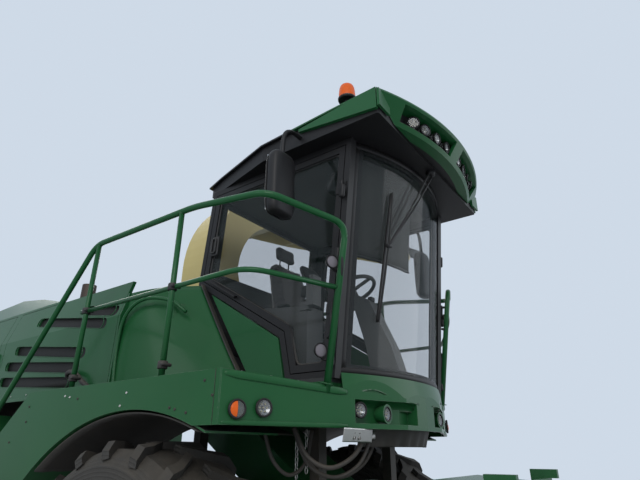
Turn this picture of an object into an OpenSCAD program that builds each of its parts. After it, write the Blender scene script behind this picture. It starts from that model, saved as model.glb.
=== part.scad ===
// Self-propelled forage harvester: two-axle machine with a cab over the feed housing,
// a transverse engine at the rear and a discharge spout that turns behind the cab.
// Frame: origin on the floor under the middle of the front axle, +X forward, +Y left,
// +Z up, millimetres. The spout is parked turned to the left.

/* [Running gear] */
// Distance from the front axle to the rear axle
wheelbase = 3200; // [3100:10:3400]
// Front tyre diameter over the lugs
front_tyre_d = 1800; // [1740:10:1840]
// Front tyre width
front_tyre_w = 620; // [520:10:640]
// Front rim diameter
front_rim_d = 813; // [760:1:870]
// Distance between the middles of the front tyres
front_track = 2320; // [2300:10:2330]
// Rear tyre diameter over the lugs
rear_tyre_d = 1400; // [1300:10:1420]
// Rear tyre width
rear_tyre_w = 500; // [440:10:520]
// Rear rim diameter
rear_rim_d = 711; // [640:1:740]
// Distance between the middles of the rear tyres
rear_track = 2260; // [2200:10:2300]
// Height of the lugs on the tyres
lug_h = 42; // [30:1:50]

/* [Chassis] */
// Underside of the chassis rails
rail_z = 1060; // [1056:1:1100]
// Height of the chassis rails
rail_h = 240; // [200:10:260]
// Width of one chassis rail
rail_w = 90; // [70:1:110]
// Outer face of a rail from the middle plane
rail_y = 500; // [480:1:520]

/* [Platforms] */
// Height of the platform decks
deck_z = 2130; // [2110:5:2150]
// Half of the width over the side skirts
half_width = 1410; // [1400:1:1430]
// Height of the top handrail above the deck
rail_top_h = 1070; // [1000:10:1100]
// Radius of the handrail tube
tube_r = 21; // [17:1:24]

/* [Cab] */
// Half of the width of the cab over its doors
cab_half_w = 770; // [764:1:776]
// Rear end of the cab
cab_rear_x = -170; // [-190:5:-150]
// Foot of the front door pillar
pillar_x = 1030; // [1000:5:1050]
// Height of the roof's underside
roof_z = 3720; // [3690:5:3750]
// Forward lean of the windscreen and the door pillars, in degrees
cab_lean = 6; // [4:0.5:7]
// Radius of the curved windscreen
screen_r = 1450; // [1400:10:1500]
// Half of the width of the roof
roof_half_w = 920; // [915:1:930]
// Front of the roof's visor
visor_x = 1715; // [1700:5:1730]
// Thickness of the doors
door_t = 40; // [34:1:44]
// Thickness of the glass
glass_t = 6; // [5:1:8]

/* [Body] */
// Rear end of the hood
hood_rear_x = -4450; // [-4500:10:-4400]
// Half of the width of the hood
hood_half_w = 1130; // [1124:1:1140]
// Thickness of the body panels
panel_t = 14; // [10:1:18]
// Front edge of the louvred side panels
service_x = -640; // [-650:5:-630]
// Rear edge of the louvred side panels
service_rear_x = -2480; // [-2520:10:-2440]
// Front edge of the hood's side doors
side_door_x = -2560; // [-2600:10:-2550]
// Rear edge of the hood's side doors
side_door_rear_x = -4250; // [-4280:10:-4200]

/* [Feed housing] */
// Cutterhead and feed housing pivot, from the front axle
cutter_x = 620; // [610:1:630]
// Height of the cutterhead
cutter_z = 1150; // [1145:1:1160]
// Radius of the cutterhead housing
cutter_r = 400; // [380:1:405]
// Half of the width inside the feed housing
feed_half_w = 366; // [366:1:372]
// Front face of the feed housing
feed_face_x = 1840; // [1830:5:1880]

/* [Spout] */
// Middle of the spout's turntable behind the front axle
spout_x = -790; // [-800:1:-780]
// Height of the turntable
turret_z = 3030; // [3020:5:3040]
// Width of the spout channel
spout_w = 400; // [360:5:410]
// Depth of the spout channel
spout_d = 340; // [300:5:350]
// Radius of the outer wall of the spout's elbow
elbow_r = 1000; // [950:10:1050]
// Length of the straight part of the spout
arm_l = 3500; // [3200:10:3800]
// Thickness of the spout's sheet
spout_t = 10; // [8:1:12]

/* [Hidden] */

// Clearance of a pin in its hole, and of a moving piece beside its neighbour
fit = 0.1;
gap = 6;
weld = 0.1;
paint_dark = "#16301c";
paint_frame = "#20241f";
paint_rim = "#d8b75a";
rubber = "#17181a";
trim = "#1b1c1e";
steel = "#8c9094";

front_axle_z = front_tyre_d / 2;
rear_axle_z = rear_tyre_d / 2;
front_y = front_track / 2;
rear_y = rear_track / 2;
king_y = rear_y - 340;
rail_in = rail_y - rail_w;
rail_top = rail_z + rail_h;
lean = sin(cab_lean) / cos(cab_lean);

function arc(c, r, a0, a1, n) =
    [for (i = [0:n]) c + r * [cos(a0 + (a1 - a0) * i / n), sin(a0 + (a1 - a0) * i / n)]];
function left_of(a, b) = let (u = (b - a) / norm(b - a)) [-u[1], u[0]];
function inset(p, d) = let (n = len(p)) [for (i = [0:n - 1])
    let (a = left_of(p[(i + n - 1) % n], p[i]), b = left_of(p[i], p[(i + 1) % n]))
    p[i] + d * (a + b) / (1 + a * b)];

module along_x(x0, x1) { translate([x0, 0, 0]) rotate([90, 0, 90]) linear_extrude(x1 - x0) children(); }
module along_y(y0, y1) { translate([0, y1, 0]) rotate([90, 0, 0]) linear_extrude(y1 - y0) children(); }
module along_z(z0, z1) { translate([0, 0, z0]) linear_extrude(z1 - z0) children(); }
module both_sides() { children(); mirror([0, 1, 0]) children(); }
module block(x0, x1, y0, y1, z0, z1) { translate([x0, y0, z0]) cube([x1 - x0, y1 - y0, z1 - z0]); }
module disc_y(x, z, r, y0, y1) { translate([x, y1, z]) rotate([90, 0, 0]) cylinder(h = y1 - y0, r = r, $fn = 48); }
module rod(p, q, r) {
    d = q - p;
    translate(p) rotate([0, acos(d[2] / norm(d)), atan2(d[1], d[0])])
        cylinder(h = norm(d), r = r, $fn = 20);
}
module facing(n) { rotate([0, acos(n[2] / norm(n)), atan2(n[1], n[0])]) children(); }
// A bent tube of straight runs, mitred at the bends and a weld apart
module pipe(points, r) {
    last = len(points) - 1;
    u = [for (i = [0:last - 1]) (points[i + 1] - points[i]) / norm(points[i + 1] - points[i])];
    for (i = [0:last - 1]) difference() {
        rod(points[i] - (i > 0 ? 1.5 * r : 0) * u[i], points[i + 1] + (i < last - 1 ? 1.5 * r : 0) * u[i], r);
        if (i > 0) translate(points[i] + weld * u[i]) facing(-u[i - 1] - u[i])
            translate([-3 * r, -3 * r, 0]) cube(6 * r);
        if (i < last - 1) translate(points[i + 1] - weld * u[i]) facing(u[i] + u[i + 1])
            translate([-3 * r, -3 * r, 0]) cube(6 * r);
    }
}

// A lug hinge on the z axis: the leaf that turns reaches to -x, the fixed leaf to +x.
// Both are welded to a face that lies off_y below the axis.
hinge_r = 13;
module hinge_leaf(z, off_y) {
    difference() {
        union() {
            translate([0, 0, z]) cylinder(h = 60, r = hinge_r, $fn = 32);
            block(-48, 0, -off_y - 2, 2 - off_y + 6, z, z + 60);
        }
        translate([0, 0, z - 1]) cylinder(h = 62, r = 7 + fit, $fn = 32);
    }
}
module hinge_post(z, off_y) {
    for (a = [z - 27, z + 61]) {
        translate([0, 0, a]) cylinder(h = 26, r = hinge_r, $fn = 32);
        block(0, 30, -off_y - 2, 2 - off_y + 6, a, a + 26);
    }
    translate([0, 0, z - 10]) cylinder(h = 80, r = 7, $fn = 32);
}
module rim(rim_d, w, hub_r, disc_y0) {
    r = rim_d / 2;
    rotate([-90, 0, 0]) rotate_extrude($fn = 64) {
        translate([r - 16, -w / 2]) square([16, w]);
        translate([r - 16, -w / 2]) square([36, 12]);
        translate([r - 16, w / 2 - 12]) square([36, 12]);
        translate([hub_r, disc_y0]) square([r - 8 - hub_r, 18]);
        translate([hub_r, disc_y0 - 60]) square([46, 110]);
    }
}
// Lugs of one side of a tread: each runs from the middle to the shoulder and sweeps back
module tyre(d, w, rim_d, seat_w, lugs) {
    r = rim_d / 2;
    h = d / 2 - r;
    c = d / 2 - lug_h;
    rotate([-90, 0, 0]) {
        rotate_extrude($fn = 60) polygon([[r, -seat_w / 2], [r + 21, -seat_w / 2], [r + 0.22 * h, -0.49 * w],
            [r + 0.45 * h, -w / 2], [r + 0.74 * h, -0.49 * w], [c - 40, -0.45 * w], [c, -0.36 * w], [c, 0.36 * w],
            [c - 40, 0.45 * w], [r + 0.74 * h, 0.49 * w], [r + 0.45 * h, w / 2], [r + 0.22 * h, 0.49 * w],
            [r + 21, seat_w / 2], [r, seat_w / 2]]);
        intersection() {
            for (i = [0:lugs - 1], s = [-1, 1]) rotate([0, 0, 360 / lugs * (i + s / 4)]) rotate([0, 90, 0])
                translate([0, 0, c - 76]) linear_extrude(150) polygon([[-0.02 * s * w, -32], [-0.02 * s * w, 30],
                    [-0.26 * s * w, 0.2 * w + 28], [-0.49 * s * w, 0.3 * w + 30], [-0.49 * s * w, 0.3 * w - 36],
                    [-0.26 * s * w, 0.2 * w - 32]]);
            rotate_extrude($fn = 60) polygon([[c - 70, -0.486 * w], [c - 10, -0.486 * w], [d / 2, -0.4 * w],
                [d / 2, 0.4 * w], [c - 10, 0.486 * w], [c - 70, 0.486 * w]]);
        }
    }
}
front_seat_w = 0.78 * front_tyre_w;
rear_seat_w = 0.78 * rear_tyre_w;
module front_rim_at() {
    color(paint_rim) translate([0, front_y, front_axle_z])
        rim(front_rim_d, front_seat_w + 24, 70 + fit, 20);
}
module front_tyre_at() {
    color(rubber) translate([0, front_y, front_axle_z])
        tyre(front_tyre_d, front_tyre_w, front_rim_d, front_seat_w, 20);
}
module rear_rim_at() {
    color(paint_rim) translate([-wheelbase, rear_y, rear_axle_z])
        rim(rear_rim_d, rear_seat_w + 24, 50 + fit, 40);
}
module rear_tyre_at() {
    color(rubber) translate([-wheelbase, rear_y, rear_axle_z])
        tyre(rear_tyre_d, rear_tyre_w, rear_rim_d, rear_seat_w, 18);
}
module front_left_rim() { front_rim_at(); }
module front_right_rim() { mirror([0, 1, 0]) front_rim_at(); }
module front_left_tyre() { front_tyre_at(); }
module front_right_tyre() { mirror([0, 1, 0]) front_tyre_at(); }
module rear_left_rim() { rear_rim_at(); }
module rear_right_rim() { mirror([0, 1, 0]) rear_rim_at(); }
module rear_left_tyre() { rear_tyre_at(); }
module rear_right_tyre() { mirror([0, 1, 0]) rear_tyre_at(); }

// Lift cylinders of the feed housing: frame pin, housing pin and barrel length
lift_y = 562;
lift_a = [230, 800];
lift_b = [cutter_x + 630, cutter_z - 320];
lift_len = norm(lift_b - lift_a);
lift_deg = atan2(lift_b[1] - lift_a[1], lift_b[0] - lift_a[0]);

module frame() {
    y1 = rail_in - weld;
    y2 = rail_y + weld;
    color(paint_frame) {
        both_sides() {
            block(-4250, 760, rail_in, rail_y, rail_z, rail_top);
            for (x = [-1130, -420, 670]) {
                block(x, x + 70, rail_y - 80, rail_y, rail_top + weld, deck_z - 110 - weld);
                block(x, x + 70, rail_y - 80, half_width - 30, deck_z - 110, deck_z - 40 - weld);
            }
            for (x = [-2300, -1230]) block(x, x + 70, y2, 960, rail_z + 60, rail_z + 130);
            for (x = [-4150, service_rear_x - 150]) {
                block(x, x + 60, rail_y - 80, rail_y, rail_top + weld, hood_z - 50 - weld);
                block(x, x + 60, rail_y - 80, hood_half_w - 2, hood_z - 50, hood_z);
            }
        }
        for (x = [-4250, -2300, -1230, -300]) block(x, x + 90, -y1, y1, rail_z, rail_top - 40);
        block(-wheelbase - 90, -wheelbase + 90, -y1, y1, rail_z, rail_top - 40);
        block(-4330, -4250 - weld, -220, 220, rail_z - 120, rail_top);
        for (z = [rail_z - 100, rail_z + 20]) difference() {
            union() {
                block(-4400, -4330 - weld, -70, 70, z, z + 30);
                translate([-4400, 0, z]) cylinder(h = 30, r = 70, $fn = 40);
            }
            translate([-4400, 0, z - 10]) cylinder(h = 50, r = 16, $fn = 32);
        }
    }
}
module front_axle() {
    color(paint_frame) {
        block(-95, 95, -620, 620, front_axle_z - 95, front_axle_z + 95);
        both_sides() {
            disc_y(0, front_axle_z, 190, 620, 800);
            disc_y(0, front_axle_z, 70, 800, front_y + 75);
            block(-120, 120, rail_in, rail_y, front_axle_z + 95, rail_z);
            for (y = [lift_y - 46, lift_y + 28]) difference() {
                block(95, lift_a[0] + 40, y, y + 18, lift_a[1] - 40, lift_a[1] + 60);
                disc_y(lift_a[0], lift_a[1], 25 + fit, y - 1, y + 19);
            }
        }
    }
}
module rear_axle() {
    color(paint_frame) translate([-wheelbase, 0, rear_axle_z]) {
        block(-90, 90, -680, 680, -80, 80);
        block(-85, 85, -200, 200, 80, rail_z - rear_axle_z);
        both_sides() for (z = [-120, 80]) difference() {
            union() {
                block(-60, 60, 600, king_y, z, z + 40);
                translate([0, king_y, z]) cylinder(h = 40, r = 60, $fn = 40);
            }
            translate([0, king_y, z - 1]) cylinder(h = 42, r = 30 + fit, $fn = 40);
        }
    }
}
module knuckle() {
    color(paint_frame) translate([-wheelbase, 0, rear_axle_z]) {
        translate([0, king_y, -79.7]) cylinder(h = 159.4, r = 58, $fn = 40);
        translate([0, king_y, -135]) cylinder(h = 270, r = 30, $fn = 40);
        disc_y(0, 0, 50, king_y, rear_y + 95);
        block(-230, 0, king_y - 26, king_y + 26, -60, -32);
        translate([-230, king_y, -60]) cylinder(h = 28, r = 34, $fn = 32);
    }
}
module left_knuckle() { knuckle(); }
module right_knuckle() { mirror([0, 1, 0]) knuckle(); }
module tie_rod() {
    color(steel) translate([-wheelbase - 230, 0, rear_axle_z - 31.7]) {
        translate([0, -king_y, 22]) rotate([-90, 0, 0]) cylinder(h = 2 * king_y, r = 18, $fn = 24);
        for (y = [-king_y, king_y]) translate([0, y, 0]) cylinder(h = 40, r = 36, $fn = 32);
    }
}

// The feed works
module cutter_housing() {
    w = feed_half_w;
    color(paint_dark) {
        difference() {
            union() {
                disc_y(cutter_x, cutter_z, cutter_r, -w, w);
                along_y(-300, 300) polygon([[cutter_x - 60, cutter_z + 300], [500, 1540], [-300, 2090],
                    [-590, 2520], [-590, 2880], [-990, 2880], [-990, 2400], [-520, 1830], [230, 1330]]);
            }
            disc_y(cutter_x, cutter_z, cutter_r - 12, -w + 16, w - 16);
            along_y(-290, 290) polygon([[cutter_x - 60, cutter_z + 290], [480, 1530], [-308, 2080],
                [-600, 2516], [-600, 2890], [-980, 2890], [-980, 2404], [-512, 1838], [250, 1330]]);
            block(cutter_x + 200, cutter_x + cutter_r + 10, -w + 16, w - 16, cutter_z - 180, cutter_z + 180);
            disc_y(cutter_x, cutter_z, 40 + fit, -w - 1, w + 1);
        }
        both_sides() difference() {
            disc_y(cutter_x, cutter_z, 80, w - 10, rail_in);
            disc_y(cutter_x, cutter_z, 40 + fit, w - 11, rail_in + 1);
        }
    }
}
module cutterhead() {
    color(steel) {
        disc_y(cutter_x, cutter_z, 40, 2 - rail_in, rail_in - 2);
        disc_y(cutter_x, cutter_z, 330, 40 - feed_half_w, feed_half_w - 40);
    }
}
roll_at = [[feed_face_x - 240, 930, 100], [feed_face_x - 560, 990, 90],
    [feed_face_x - 270, 1330, 150], [feed_face_x - 610, 1275, 110]];
module feed_housing() {
    w = feed_half_w;
    x1 = feed_face_x;
    side = concat(arc([cutter_x, cutter_z], 130, 110, 250, 8), [[1080, 800], [1330, 770], [x1 - 30, 800],
        [x1 - 30, 1570], [1400, 1600], [1100, 1540]]);
    color(paint_dark) difference() {
        union() {
            both_sides() along_y(w + 6, w + 26) polygon(side);
            along_y(-w - 6 + weld, w + 6 - weld) polygon([[1100, 1500], [1400, 1588], [x1 - 30 - weld, 1558],
                [x1 - 30 - weld, 1570], [1400, 1600], [1100, 1512]]);
            along_y(-w - 6 + weld, w + 6 - weld) polygon([[1080, 800], [1330, 770], [x1 - 30 - weld, 800],
                [x1 - 30 - weld, 812], [1330, 782], [1080, 812]]);
            block(x1 - 30, x1, -500, 500, 1500, 1590);
            block(x1 - 30, x1, -500, 500, 790, 850);
            both_sides() {
                block(x1 - 30, x1, w + 6, 500, 850 + weld, 1500 - weld);
                block(x1 - 110, x1 - 30 - weld, 430, 470, 1480, 1640);
                block(x1 - 30, x1 + 50, 430, 470, 1590 + weld, 1640);
                block(lift_b[0] - 50, lift_b[0] + 50, w + 26 + weld, lift_y - 28, lift_b[1] - 40, lift_b[1] + 50);
                disc_y(lift_b[0], lift_b[1], 25, w + 36, lift_y + 44);
            }
        }
        both_sides() {
            disc_y(cutter_x, cutter_z, 80 + fit, w, w + 30);
            for (r = roll_at) disc_y(r[0], r[1], 25 + fit, w, w + 30);
            translate([x1 - 31, 450, 830]) rotate([0, 90, 0]) cylinder(h = 40, r = 18, $fn = 32);
        }
    }
}
flights = 10;
module feed_roll(r) {
    color(steel) {
        disc_y(r[0], r[1], 25, -feed_half_w - 30, feed_half_w + 30);
        disc_y(r[0], r[1], r[2] - 16, 6 - feed_half_w, feed_half_w - 6);
        translate([r[0], 0, r[1]]) for (i = [0:flights - 1]) rotate([0, 360 / flights * i, 0])
            block(r[2] - 20, r[2], 10 - feed_half_w, feed_half_w - 10, -6, 6);
    }
}
module roll_lower_front() { feed_roll(roll_at[0]); }
module roll_lower_rear() { feed_roll(roll_at[1]); }
module roll_upper_front() { feed_roll(roll_at[2]); }
module roll_upper_rear() { feed_roll(roll_at[3]); }
module lift_barrel() {
    color(trim) translate([lift_a[0], lift_y, lift_a[1]]) rotate([0, 90 - lift_deg, 0]) difference() {
        union() {
            rotate([90, 0, 0]) translate([0, 0, -26]) cylinder(h = 52, r = 42, $fn = 32);
            translate([-26, -24, 0]) cube([52, 48, 80]);
            translate([0, 0, 64]) cylinder(h = lift_len - 364, r = 45, $fn = 32);
        }
        translate([0, 0, 120]) cylinder(h = lift_len, r = 28 + fit, $fn = 32);
    }
    color(steel) disc_y(lift_a[0], lift_a[1], 25, lift_y - 48, lift_y + 48);
}
module lift_rod() {
    color(steel) translate([lift_a[0], lift_y, lift_a[1]]) rotate([0, 90 - lift_deg, 0]) difference() {
        union() {
            translate([0, 0, 260]) cylinder(h = lift_len - 290, r = 28, $fn = 32);
            translate([0, 0, lift_len]) rotate([90, 0, 0]) translate([0, 0, -24]) cylinder(h = 48, r = 42, $fn = 32);
        }
        translate([0, 0, lift_len]) rotate([90, 0, 0]) translate([0, 0, -30]) cylinder(h = 60, r = 34, $fn = 32);
    }
}
module left_lift_barrel() { lift_barrel(); }
module left_lift_rod() { lift_rod(); }
module right_lift_barrel() { mirror([0, 1, 0]) lift_barrel(); }
module right_lift_rod() { mirror([0, 1, 0]) lift_rod(); }

// The spout: elbow about its centre of curvature, then the arm rising at arm_deg
elbow_turn = 80;
arm_deg = 90 - elbow_turn;
elbow_c = [elbow_r - 350, 3350];
joint = elbow_c + elbow_r * [cos(180 - elbow_turn), sin(180 - elbow_turn)];
flange_z = turret_z + 0.3;
module spout_turret() {
    color(paint_frame) translate([spout_x, 0, 0]) difference() {
        union() {
            translate([0, 0, 2880]) cylinder(h = turret_z - 2880, r = 330, $fn = 72);
            translate([0, 0, turret_z - 40]) cylinder(h = 40, r = 400, $fn = 72);
        }
        translate([0, 0, 2879]) cylinder(h = 200, r = 188, $fn = 64);
    }
}
module spout_elbow() {
    c = elbow_c;
    t = spout_t;
    hw = spout_w / 2;
    a1 = 180 - elbow_turn;
    color(paint_rim) {
        difference() {
            union() {
                along_x(spout_x - hw, spout_x + hw) polygon(concat([[200, flange_z + 30], [-350, flange_z + 30]],
                    arc(c, elbow_r, 180, a1, 14), arc(c, elbow_r - spout_d, a1, 180, 14), [[30, 3220]]));
                translate([spout_x, 0, flange_z]) cylinder(h = 30, r = 400, $fn = 72);
            }
            along_x(spout_x - hw + t, spout_x + hw - t) polygon(concat([[180, flange_z + 20], [-340, flange_z + 20]],
                arc(c, elbow_r - t, 180, a1 - 2, 14), arc(c, elbow_r - spout_d + t, a1 - 2, 180, 14), [[20, 3220]]));
            translate([spout_x, 0, flange_z - 1]) cylinder(h = 60, r = 188, $fn = 64);
        }
        for (s = [-1, 1]) translate([spout_x + s * hw, joint[0], joint[1]]) rotate([arm_deg, 0, 0])
            translate([0, -30, -30]) rotate([0, s * 90, 0]) cylinder(h = 30, r = 14, $fn = 24);
        rod([spout_x - hw, cyl_a[0], cyl_a[1]], [spout_x - hw - 84, cyl_a[0], cyl_a[1]], 16);
    }
}
arm_u = [cos(arm_deg), sin(arm_deg)];
arm_n = [-sin(arm_deg), cos(arm_deg)];
cyl_a = elbow_c + (elbow_r - spout_d + 45) * [cos(125), sin(125)];
cyl_b = joint + 620 * arm_u - 200 * arm_n;
cyl_len = norm(cyl_b - cyl_a);
cyl_deg = atan2(cyl_b[1] - cyl_a[1], cyl_b[0] - cyl_a[0]);
arm_hw = spout_w / 2 + gap + spout_t;
module on_arm() { translate([spout_x, joint[0], joint[1]]) rotate([arm_deg, 0, 0]) children(); }
module spout_arm() {
    t = spout_t;
    color(paint_rim) on_arm() {
        block(-arm_hw, arm_hw, 16, arm_l, -t, 0);
        for (s = [-1, 1]) {
            difference() {
                along_x(s > 0 ? arm_hw - t : -arm_hw, s > 0 ? arm_hw : t - arm_hw) polygon([[16, 0], [-30, -4],
                    [-56, -30], [-56, -spout_d], [700, -spout_d], [arm_l, -230], [arm_l, 0]]);
                translate([-arm_hw - 1, -30, -30]) rotate([0, 90, 0]) cylinder(h = 2 * arm_hw + 2, r = 14 + fit, $fn = 24);
            }
            translate([s * arm_hw, arm_l - 40, -30]) rotate([0, s * 90, 0]) cylinder(h = 30, r = 10, $fn = 24);
        }
    }
    color(paint_rim) rod([spout_x - arm_hw, cyl_b[0], cyl_b[1]], [spout_x - hw_pin, cyl_b[0], cyl_b[1]], 16);
}
hw_pin = spout_w / 2 + 84;
module spout_flap() {
    t = spout_t;
    y0 = arm_l - 40;
    color(paint_dark) on_arm() {
        block(-arm_hw - 16, arm_hw + 16, arm_l + 50, arm_l + 470, -t - 20, -20);
        for (s = [-1, 1]) difference() {
            along_x(s > 0 ? arm_hw + 6 : -arm_hw - 16, s > 0 ? arm_hw + 16 : -arm_hw - 6) polygon([[arm_l + 50, -20],
                [y0, -8], [y0 - 20, -14], [y0 - 20, -50], [arm_l + 20, -200], [arm_l + 470, -150], [arm_l + 470, -20]]);
            translate([-arm_hw - 20, y0, -30]) rotate([0, 90, 0]) cylinder(h = 2 * arm_hw + 40, r = 10 + fit, $fn = 24);
        }
    }
}
module on_cylinder() {
    translate([spout_x - spout_w / 2 - 56, cyl_a[0], cyl_a[1]]) rotate([cyl_deg - 90, 0, 0]) children();
}
module spout_barrel() {
    color(trim) on_cylinder() difference() {
        union() {
            rotate([0, 90, 0]) translate([0, 0, -18]) cylinder(h = 36, r = 30, $fn = 32);
            translate([0, 0, 20]) cylinder(h = cyl_len - 260, r = 30, $fn = 32);
        }
        rotate([0, 90, 0]) translate([0, 0, -19]) cylinder(h = 38, r = 16 + fit, $fn = 32);
        translate([0, 0, 90]) cylinder(h = cyl_len, r = 18 + fit, $fn = 32);
    }
}
module spout_rod() {
    color(steel) on_cylinder() difference() {
        union() {
            translate([0, 0, 200]) cylinder(h = cyl_len - 226, r = 18, $fn = 32);
            translate([0, 0, cyl_len]) rotate([0, 90, 0]) translate([0, 0, -18]) cylinder(h = 36, r = 37, $fn = 32);
        }
        translate([0, 0, cyl_len]) rotate([0, 90, 0]) translate([0, 0, -19]) cylinder(h = 38, r = 28, $fn = 32);
    }
}

// The cab: door outline in side view, its glass and the frame round it
sill_z = deck_z + 48.3;
door_top = roof_z - 50;
door_pts = [[720, sill_z], [pillar_x - 30, sill_z], [pillar_x - 30 + lean * (door_top - sill_z), door_top],
    [cab_rear_x + 70, door_top], [cab_rear_x, 2950], [660, 2450]];
screen_x = pillar_x - 20 - sqrt(screen_r * screen_r - (cab_half_w - 50) * (cab_half_w - 50));
screen_front = screen_x + screen_r;
screen_half = asin((cab_half_w - 64) / screen_r);
function rear_x(z) = cab_rear_x - 60 + 60 * (z - 2950) / (roof_z - 2950);
function tub_z(x) = deck_z + 26 + 0.66 * (300 - x);
module screen_sector(r_in, r_out, half, z0, z1) {
    intersection() {
        translate([screen_x, 0, deck_z]) rotate([0, cab_lean, 0]) translate([0, 0, -200])
            rotate_extrude(angle = 2 * half, start = -half, $fn = 120)
                translate([r_in, 0]) square([r_out - r_in, 2200]);
        block(-500, 2500, -1200, 1200, z0, z1);
    }
}
module cab_frame() {
    w = cab_half_w;
    color(trim) {
        difference() {
            union() {
                both_sides() difference() {
                    along_y(w - 62, w) polygon(inset(door_pts, -48));
                    along_y(w - 63, w + 1) polygon(inset(door_pts, -gap));
                }
                both_sides() on_door_axis() for (z = door_hinges) hinge_post(z, 14);
                both_sides() along_y(w - 62, w - door_t - gap) difference() {
                    polygon(inset(door_pts, -30));
                    polygon(inset(door_pts, 26));
                }
                along_y(62 - w, w - 62) polygon([[rear_x(2950), 2950], [-110, 2400], [300, deck_z], [900, deck_z],
                    [900, tub_z(300)], [300, tub_z(300)], [-88, tub_z(-88)], [rear_x(2950) + 26, 2950],
                    [rear_x(roof_z) + 26, roof_z], [rear_x(roof_z), roof_z]]);
                along_z(deck_z, tub_z(300)) intersection() {
                    circle_at([screen_x, 0], screen_r - 8);
                    translate([880, 62 - w]) square([screen_front - 880, 2 * w - 124]);
                }
                screen_sector(screen_r - 46, screen_r - glass_t, screen_half, deck_z + 26, deck_z + 90);
                screen_sector(screen_r - 46, screen_r - glass_t, screen_half, roof_z - 70, roof_z);
                both_sides() intersection() {
                    translate([screen_x, 0, deck_z]) rotate([0, cab_lean, 0]) translate([0, 0, -200])
                        rotate_extrude(angle = 3.2, start = screen_half - 3.2, $fn = 120)
                            translate([screen_r - 46, 0]) square([40, 2200]);
                    block(-500, 2500, -1200, w - 62, deck_z + 26, roof_z);
                }
            }
            block(-400, 0, -600, 600, rear_glass[0], rear_glass[1]);
        }
    }
}
door_hinges = [330, 1130];
module on_door_axis() {
    translate([pillar_x - 27, cab_half_w + 14, sill_z]) rotate([0, cab_lean, 0]) children();
}
module cab_quarters() {
    color(paint_dark) both_sides() along_y(cab_half_w - 40, cab_half_w) polygon([[-60, 2818], [405, deck_z],
        [664, deck_z], [608, 2410]]);
}
module windscreen() {
    color("#9fc3bd", 0.35) screen_sector(screen_r - glass_t, screen_r, screen_half, deck_z + 30, roof_z - 4);
}
module cab_glass() {
    z0 = rear_glass[0];
    z1 = rear_glass[1];
    color("#9fc3bd", 0.35) along_y(-600, 600) polygon([[rear_x(z0) + 10, z0], [rear_x(z0) + 10 + glass_t, z0],
        [rear_x(z1) + 10 + glass_t, z1], [rear_x(z1) + 10, z1]]);
}
module cab_door() {
    w = cab_half_w;
    color(trim) {
        along_y(w - door_t, w) difference() {
            polygon(door_pts);
            polygon(inset(door_pts, 46));
        }
        rod([-48, w + 34, 2906], [222, w + 34, 2743], 11);
        for (p = [[-29, 2894.5], [202, 2755]]) rod([p[0], w - 10, p[1]], [p[0], w + 34, p[1]], 9);
        on_door_axis() for (z = door_hinges) hinge_leaf(z, 14);
    }
}
module cab_door_glass() {
    color("#9fc3bd", 0.35) along_y(cab_half_w - door_t / 2 - glass_t, cab_half_w - door_t / 2)
        polygon(inset(door_pts, 46));
}
module left_door() { cab_door(); }
module right_door() { mirror([0, 1, 0]) cab_door(); }
module left_door_glass() { cab_door_glass(); }
module right_door_glass() { mirror([0, 1, 0]) cab_door_glass(); }
module seat() {
    color("#2b2d30") {
        along_y(-200, 200) polygon([[130, tub_z(130)], [300, tub_z(300)], [430, tub_z(300)], [430, 2560],
            [130, 2560]]);
        block(60, 560, -250, 250, 2560 + weld, 2680);
        along_y(-230, 230) polygon([[60, 2680 + weld], [150, 2680 + weld], [40, 3280], [-40, 3280]]);
        along_y(-130, 130) polygon([[-38, 3280 + weld], [38, 3280 + weld], [22, 3440], [-40, 3440]]);
        block(100, 420, 270, 340, 2690, 2750);
        block(180, 240, 250 + weld, 300, 2620, 2690 - weld);
    }
}
// The steering wheel's middle
wheel_at = [700, 0, 2905];
module console() {
    color("#26282b") {
        along_y(-480, -290) polygon([[140, tub_z(140)], [300, tub_z(300)], [620, tub_z(300)], [620, 2690],
            [140, 2740]]);
        along_y(-60, 60) polygon([[900, deck_z + 26], [1110, deck_z + 26], [1115, deck_z + 70], [1050, 2420],
            [880, 2790], [760, 2860], [720, 2840], [770, 2690], [840, 2460]]);
        translate(wheel_at) rotate([0, -24, 0]) rotate_extrude($fn = 48) translate([190, 0]) circle(r = 15, $fn = 16);
        translate(wheel_at) rotate([0, -24, 0]) {
            translate([0, 0, -90]) cylinder(h = 100, r = 34, $fn = 32);
            for (a = [0, 120, 240]) rotate([0, 0, a]) block(0, 185, -14, 14, -8, 8);
        }
        block(640, 700, -520, -420, 2680, 2900);
        block(560, 640, -490, -450, 2660, 2720);
    }
}
rear_glass = [3060, roof_z - 70];
// The roof: plan with an arched front, and the height of its upper edge along x
roof_front_x = 1495;
roof_step = visor_x - roof_front_x;
roof_r = (roof_half_w * roof_half_w + roof_step * roof_step) / (2 * roof_step);
roof_c = visor_x - roof_r;
roof_half = asin(roof_half_w / roof_r);
roof_plan = concat([[-250, roof_half_w - 180], [-250, 180 - roof_half_w], [500, -roof_half_w]],
    arc([roof_c, 0], roof_r, -roof_half, roof_half, 16), [[500, roof_half_w]]);
lip_z = roof_z + 24;
brim_z = roof_z + 186;
roof_top = [[-250, roof_z + 96], [-60, roof_z + 112], [500, roof_z + 128], [1130, roof_z + 168], [roof_front_x, brim_z]];
wing = [[860, roof_z + 98], [roof_front_x - 8, lip_z], [roof_front_x - 8, brim_z], [860, roof_z + 118]];
seam_x = roof_front_x - 8;
beacon = [1187, 780, 4114];
module roof_band(profile, half) {
    translate([roof_c, 0, 0]) rotate_extrude(angle = 2 * half, start = -half, $fn = 120) polygon(profile);
}
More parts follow.
